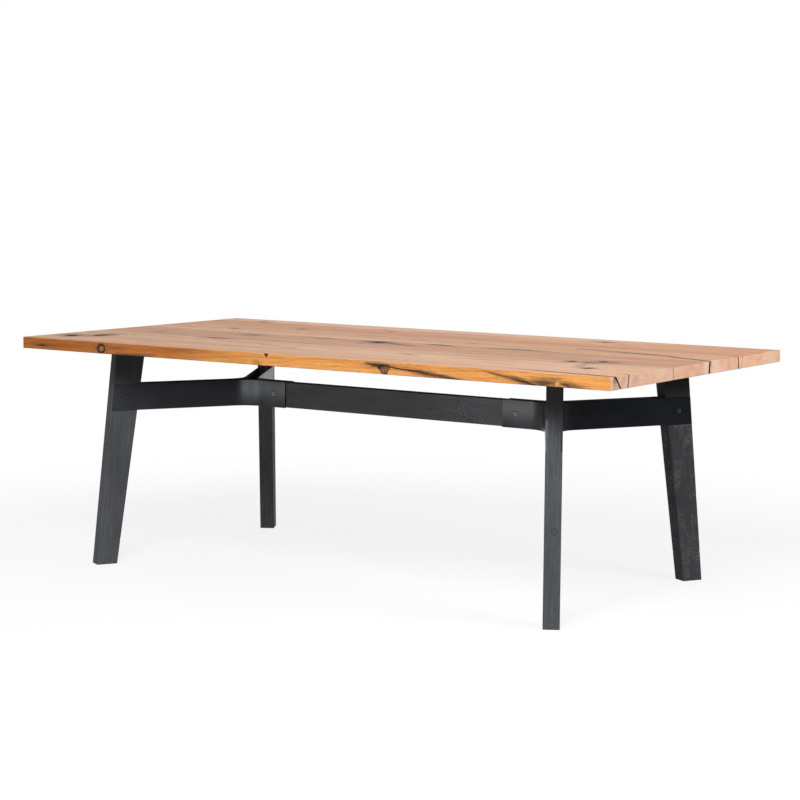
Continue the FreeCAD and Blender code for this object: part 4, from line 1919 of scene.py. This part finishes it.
@dataclass
class ClampedBase:
    """The legs, bars and stretcher under the top."""

    sizes: BaseSizes = field(default_factory=BaseSizes)
    # Per leg: scuffs, the painted light factor that makes the one black stain lighter or darker as each leg
    # looks under its own light, the share of painted shade at the top, and the knot height.
    wear_and_light: dict[str, LegWearAndLight] = field(default_factory=lambda: {
        "front_left": LegWearAndLight(0.20, 1.60, 0.56),
        "front_right": LegWearAndLight(0.20, 1.17, 0.82, 0.284),
        "back_left": LegWearAndLight(0.20, 2.35, 0.56),
        "back_right": LegWearAndLight(0.90, 0.86, 1.0),
    })
    # Height above which the legs carry painted shade, for the shadow of the table top.
    painted_shade_above: float = 0.55

    def bars(self) -> list[FlatBar]:
        """Describes the six bent bars.

        Returns:
            The four outer bars and the two fork bars.
        """
        sizes, made = self.sizes, []
        for name, (end, side) in LEGS.items():
            arms = (sizes.along(end, side), Vector((-end, 0.0, 0.0)))
            made.append(FlatBar("outer_bar_" + name, sizes, end, *arms, False))
        for name, end in (("left", -1), ("right", 1)):
            arms = (sizes.along(end, -1), sizes.along(end, 1))
            made.append(FlatBar("fork_bar_" + name, sizes, end, *arms, True))
        return made

    def build(self) -> None:
        """Builds and dresses the base."""
        lean = math.atan2(self.sizes.leg_top_reach - self.sizes.leg_foot_reach, self.sizes.leg_top_z)
        for seed, name in enumerate(LEGS):
            wear_and_light = self.wear_and_light[name]
            finish = BlackOakFinish(
                "black_oak_" + name, Axis.Z, seed + 2, scuffed=wear_and_light.scuffed, lift=wear_and_light.lift, lean=lean,
                painted_shade_above=self.painted_shade_above, painted_shade_share=wear_and_light.painted_shade_share,
            )
            leg = Leg(name, self.sizes, seed + 11, wear_and_light.knot_height)
            self.keep(leg.build(finish.material()), "leg_" + name)
        coat = CoatedSteelFinish("black_coat").material()
        # The fork bars get a darker, less glossy copy of the coat: painted shade for the dark under the table
        # top where they stand.
        dull_shaded_coat = CoatedSteelFinish("black_coat_dull", tone(0.0106, 0.0122, 0.0158), gloss=0.05).material()
        # The lining of the bolt seats is near black: painted shade in the gap round each bolt head.
        gap = CoatedSteelFinish("black_coat_gap", tone(0.004, 0.004, 0.005), 0.8, 0.0).material()
        for bar in self.bars():
            self.keep(bar.build(dull_shaded_coat if bar.second_is_leg else coat, gap), bar.name)
        # The beam's stain gets a large painted light factor, standing in for light that the table top keeps
        # off it.
        beam = BlackOakFinish("black_oak_stretcher", Axis.X, 9, sawn=0.7, lift=2.4)
        self.keep(Stretcher(self.sizes).build(beam.material()), "stretcher")

    def keep(self, piece: Piece, node: str) -> None:
        """Lets a piece stand for its solid.

        Args:
            piece: the piece.
            node: the node that it replaces.
        """
        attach(piece, BODY)
        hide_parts(node)
        LOG.info("base piece %s: %d faces", piece.name, len(piece.data.polygons))


@dataclass
class Hardware:
    """Fasteners, plates and cross bars, which keep their solids and get their finishes."""

    black: tuple[str, ...] = ("clamp_bolts", "clamp_sleeve_nuts")
    plain: tuple[str, ...] = (
        "top_batten_left", "top_batten_centre", "top_batten_right",
        "leg_plate_front_left", "leg_plate_front_right", "leg_plate_back_left", "leg_plate_back_right",
    )
    plated: tuple[str, ...] = ("batten_screws", "plate_to_top_screws", "plate_to_leg_screws")

    def dress(self) -> None:
        """Gives every carried-over solid its finish and eased edges."""
        finishes = (
            (self.black, BareSteelFinish("burnished_steel", tone(0.050, 0.053, 0.058), 0.36, 0.004), 0.0005),
            (self.plain, BareSteelFinish("mill_steel", tone(0.42, 0.42, 0.43), 0.42), 0.0006),
            (self.plated, BareSteelFinish("zinc_plate", tone(0.62, 0.61, 0.58), 0.32), 0.0003),
        )
        for nodes, finish, ease in finishes:
            material = finish.material()
            for node in nodes:
                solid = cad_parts[node]
                solid.data.materials.clear()
                solid.data.materials.append(material)
                soften(solid, ease, weld=True)
                LOG.info("hardware %s", node)


@dataclass(frozen=True)
class Softbox:
    """A rectangular soft light: its place, the point that it faces, its size, its watts and what it does."""

    name: str
    place: Triple
    aim: Triple
    size: Pair
    power: float
    shine: Shine = Shine.FULL

    def build(self) -> None:
        """Hangs the light."""
        data = bpy.data.lights.new(self.name, "AREA")
        data.shape = "RECTANGLE"
        data.size, data.size_y = self.size
        data.energy = self.power
        made = bpy.data.objects.new(self.name, data)
        bpy.context.scene.collection.objects.link(made)
        made.location = self.place
        made.rotation_euler = (Vector(self.aim) - Vector(self.place)).to_track_quat("-Z", "Y").to_euler()
        made.visible_diffuse = self.shine is not Shine.SHEEN
        made.visible_glossy = self.shine is not Shine.LIGHT


@dataclass(frozen=True)
class Studio:
    """White floor and backdrop, soft lights and the camera of the photograph."""

    eye: Triple = (3.8867, -5.8266, 1.3380)
    yaw: float = math.radians(33.55)
    pitch: float = math.radians(6.24)
    roll: float = math.radians(0.52)
    lens: float = 96.136
    ambient: float = 0.06
    floor_radius: float = 14.0
    floor_fade: Pair = (1.5, 3.0)
    lamps: tuple[Softbox, ...] = (
        Softbox("key", (1.6, -4.0, 3.8), (0.0, 0.0, 0.6), (2.4, 2.0), 272.0),
        Softbox("overhead", (-0.9, 0.2, 3.6), (-0.5, 0.0, 0.7), (4.0, 3.0), 24.0),
        Softbox("back", (-2.4, 3.9, 1.9), (0.0, 0.0, 0.5), (2.6, 1.8), 40.0, Shine.LIGHT),
        Softbox("side", (4.2, -0.1, 2.1), (0.9, 0.0, 0.7), (2.0, 2.0), 113.0, Shine.LIGHT),
        Softbox("sheen", (-1.4, -3.9, 0.6), (-0.2, 0.0, 0.6), (3.4, 1.1), 125.0, Shine.SHEEN),
        Softbox("sheen_right", (1.7, -3.6, 0.6), (0.0, 0.0, 0.6), (2.8, 1.1), 120.0, Shine.SHEEN),
    )

    def camera(self) -> None:
        """Sets up the camera."""
        flat = math.cos(self.pitch)
        ahead = Vector((-math.sin(self.yaw) * flat, math.cos(self.yaw) * flat, -math.sin(self.pitch)))
        level = Vector((math.cos(self.yaw), math.sin(self.yaw), 0.0))
        above = level.cross(ahead)
        right = level * math.cos(self.roll) + above * math.sin(self.roll)
        up = above * math.cos(self.roll) - level * math.sin(self.roll)
        data = bpy.data.cameras.new("camera")
        data.sensor_width = 36.0
        data.lens = self.lens
        data.clip_end = 200.0
        made = bpy.data.objects.new("camera", data)
        bpy.context.scene.collection.objects.link(made)
        made.matrix_world = Matrix.Translation(self.eye) @ Matrix((right, up, -ahead)).transposed().to_4x4()
        bpy.context.scene.camera = made

    def seen(self, graph: Graph) -> Socket:
        """Tells rays that look from rays that light.

        Args:
            graph: the graph to write in.

        Returns:
            One for rays that come from the camera, a mirror or glass, and zero for light.
        """
        path = graph.node("LightPath").outputs
        mirrored = graph.most(path["Is Glossy Ray"], path["Is Transmission Ray"])
        return graph.most(path["Is Camera Ray"], mirrored)

    def world(self) -> None:
        """Sets up the even white surroundings, which light less than they show."""
        world = bpy.data.worlds.new("studio")
        bpy.context.scene.world = world
        graph = Graph(world)
        light = graph.node("Background", {"Color": grey(1.0), "Strength": self.ambient})
        shown = graph.node("Background", {"Color": grey(1.0), "Strength": 1.0})
        mixed = graph.layered(self.seen(graph), light, shown)
        graph.node("OutputWorld", {"Surface": mixed.outputs[0]})

    def floor_paint(self) -> Material:
        """Writes the floor's white paint, which fades into the backdrop far from the table.

        Returns:
            The material.
        """
        graph = Graph(bpy.data.materials.new("white_floor"))
        place = graph.place()
        seen = self.seen(graph)
        pale = graph.ramp(graph.uneven(place, even(3.0)), greys((0.3, 0.88), (0.7, 0.91)))
        paint = graph.node("BsdfDiffuse", {"Color": graph.blend(seen, grey(0.44), pale)})
        glow = graph.node("Emission", {"Color": grey(1.0), "Strength": 1.0})
        lifted = graph.layered(graph.times(seen, 0.84), paint, glow)
        far = graph.spread(graph.within(place, ORIGIN, 1.0), *self.floor_fade)
        hidden = graph.most(far, graph.node("NewGeometry").outputs["Backfacing"])
        faded = graph.layered(hidden, lifted, graph.node("BsdfTransparent"))
        graph.node("OutputMaterial", {"Surface": faded.outputs[0]})
        return graph.owner

    def floor(self) -> None:
        """Lays the floor."""
        shape = bmesh.new()
        bmesh.ops.create_circle(shape, cap_ends=True, segments=96, radius=self.floor_radius)
        link("floor", as_mesh(shape, "floor"), self.floor_paint())

    def build(self) -> None:
        """Builds the whole studio."""
        bpy.context.scene.view_settings.view_transform = "Standard"
        self.world()
        self.floor()
        for lamp in self.lamps:
            lamp.build()
        self.camera()


def main() -> None:
    """Builds the table and its studio in order."""
    logging.basicConfig(level=logging.INFO, format="%(name)s: %(message)s")
    TableTop().build()
    ClampedBase().build()
    Hardware().dress()
    Studio().build()


if __name__ == "__main__":
    main()
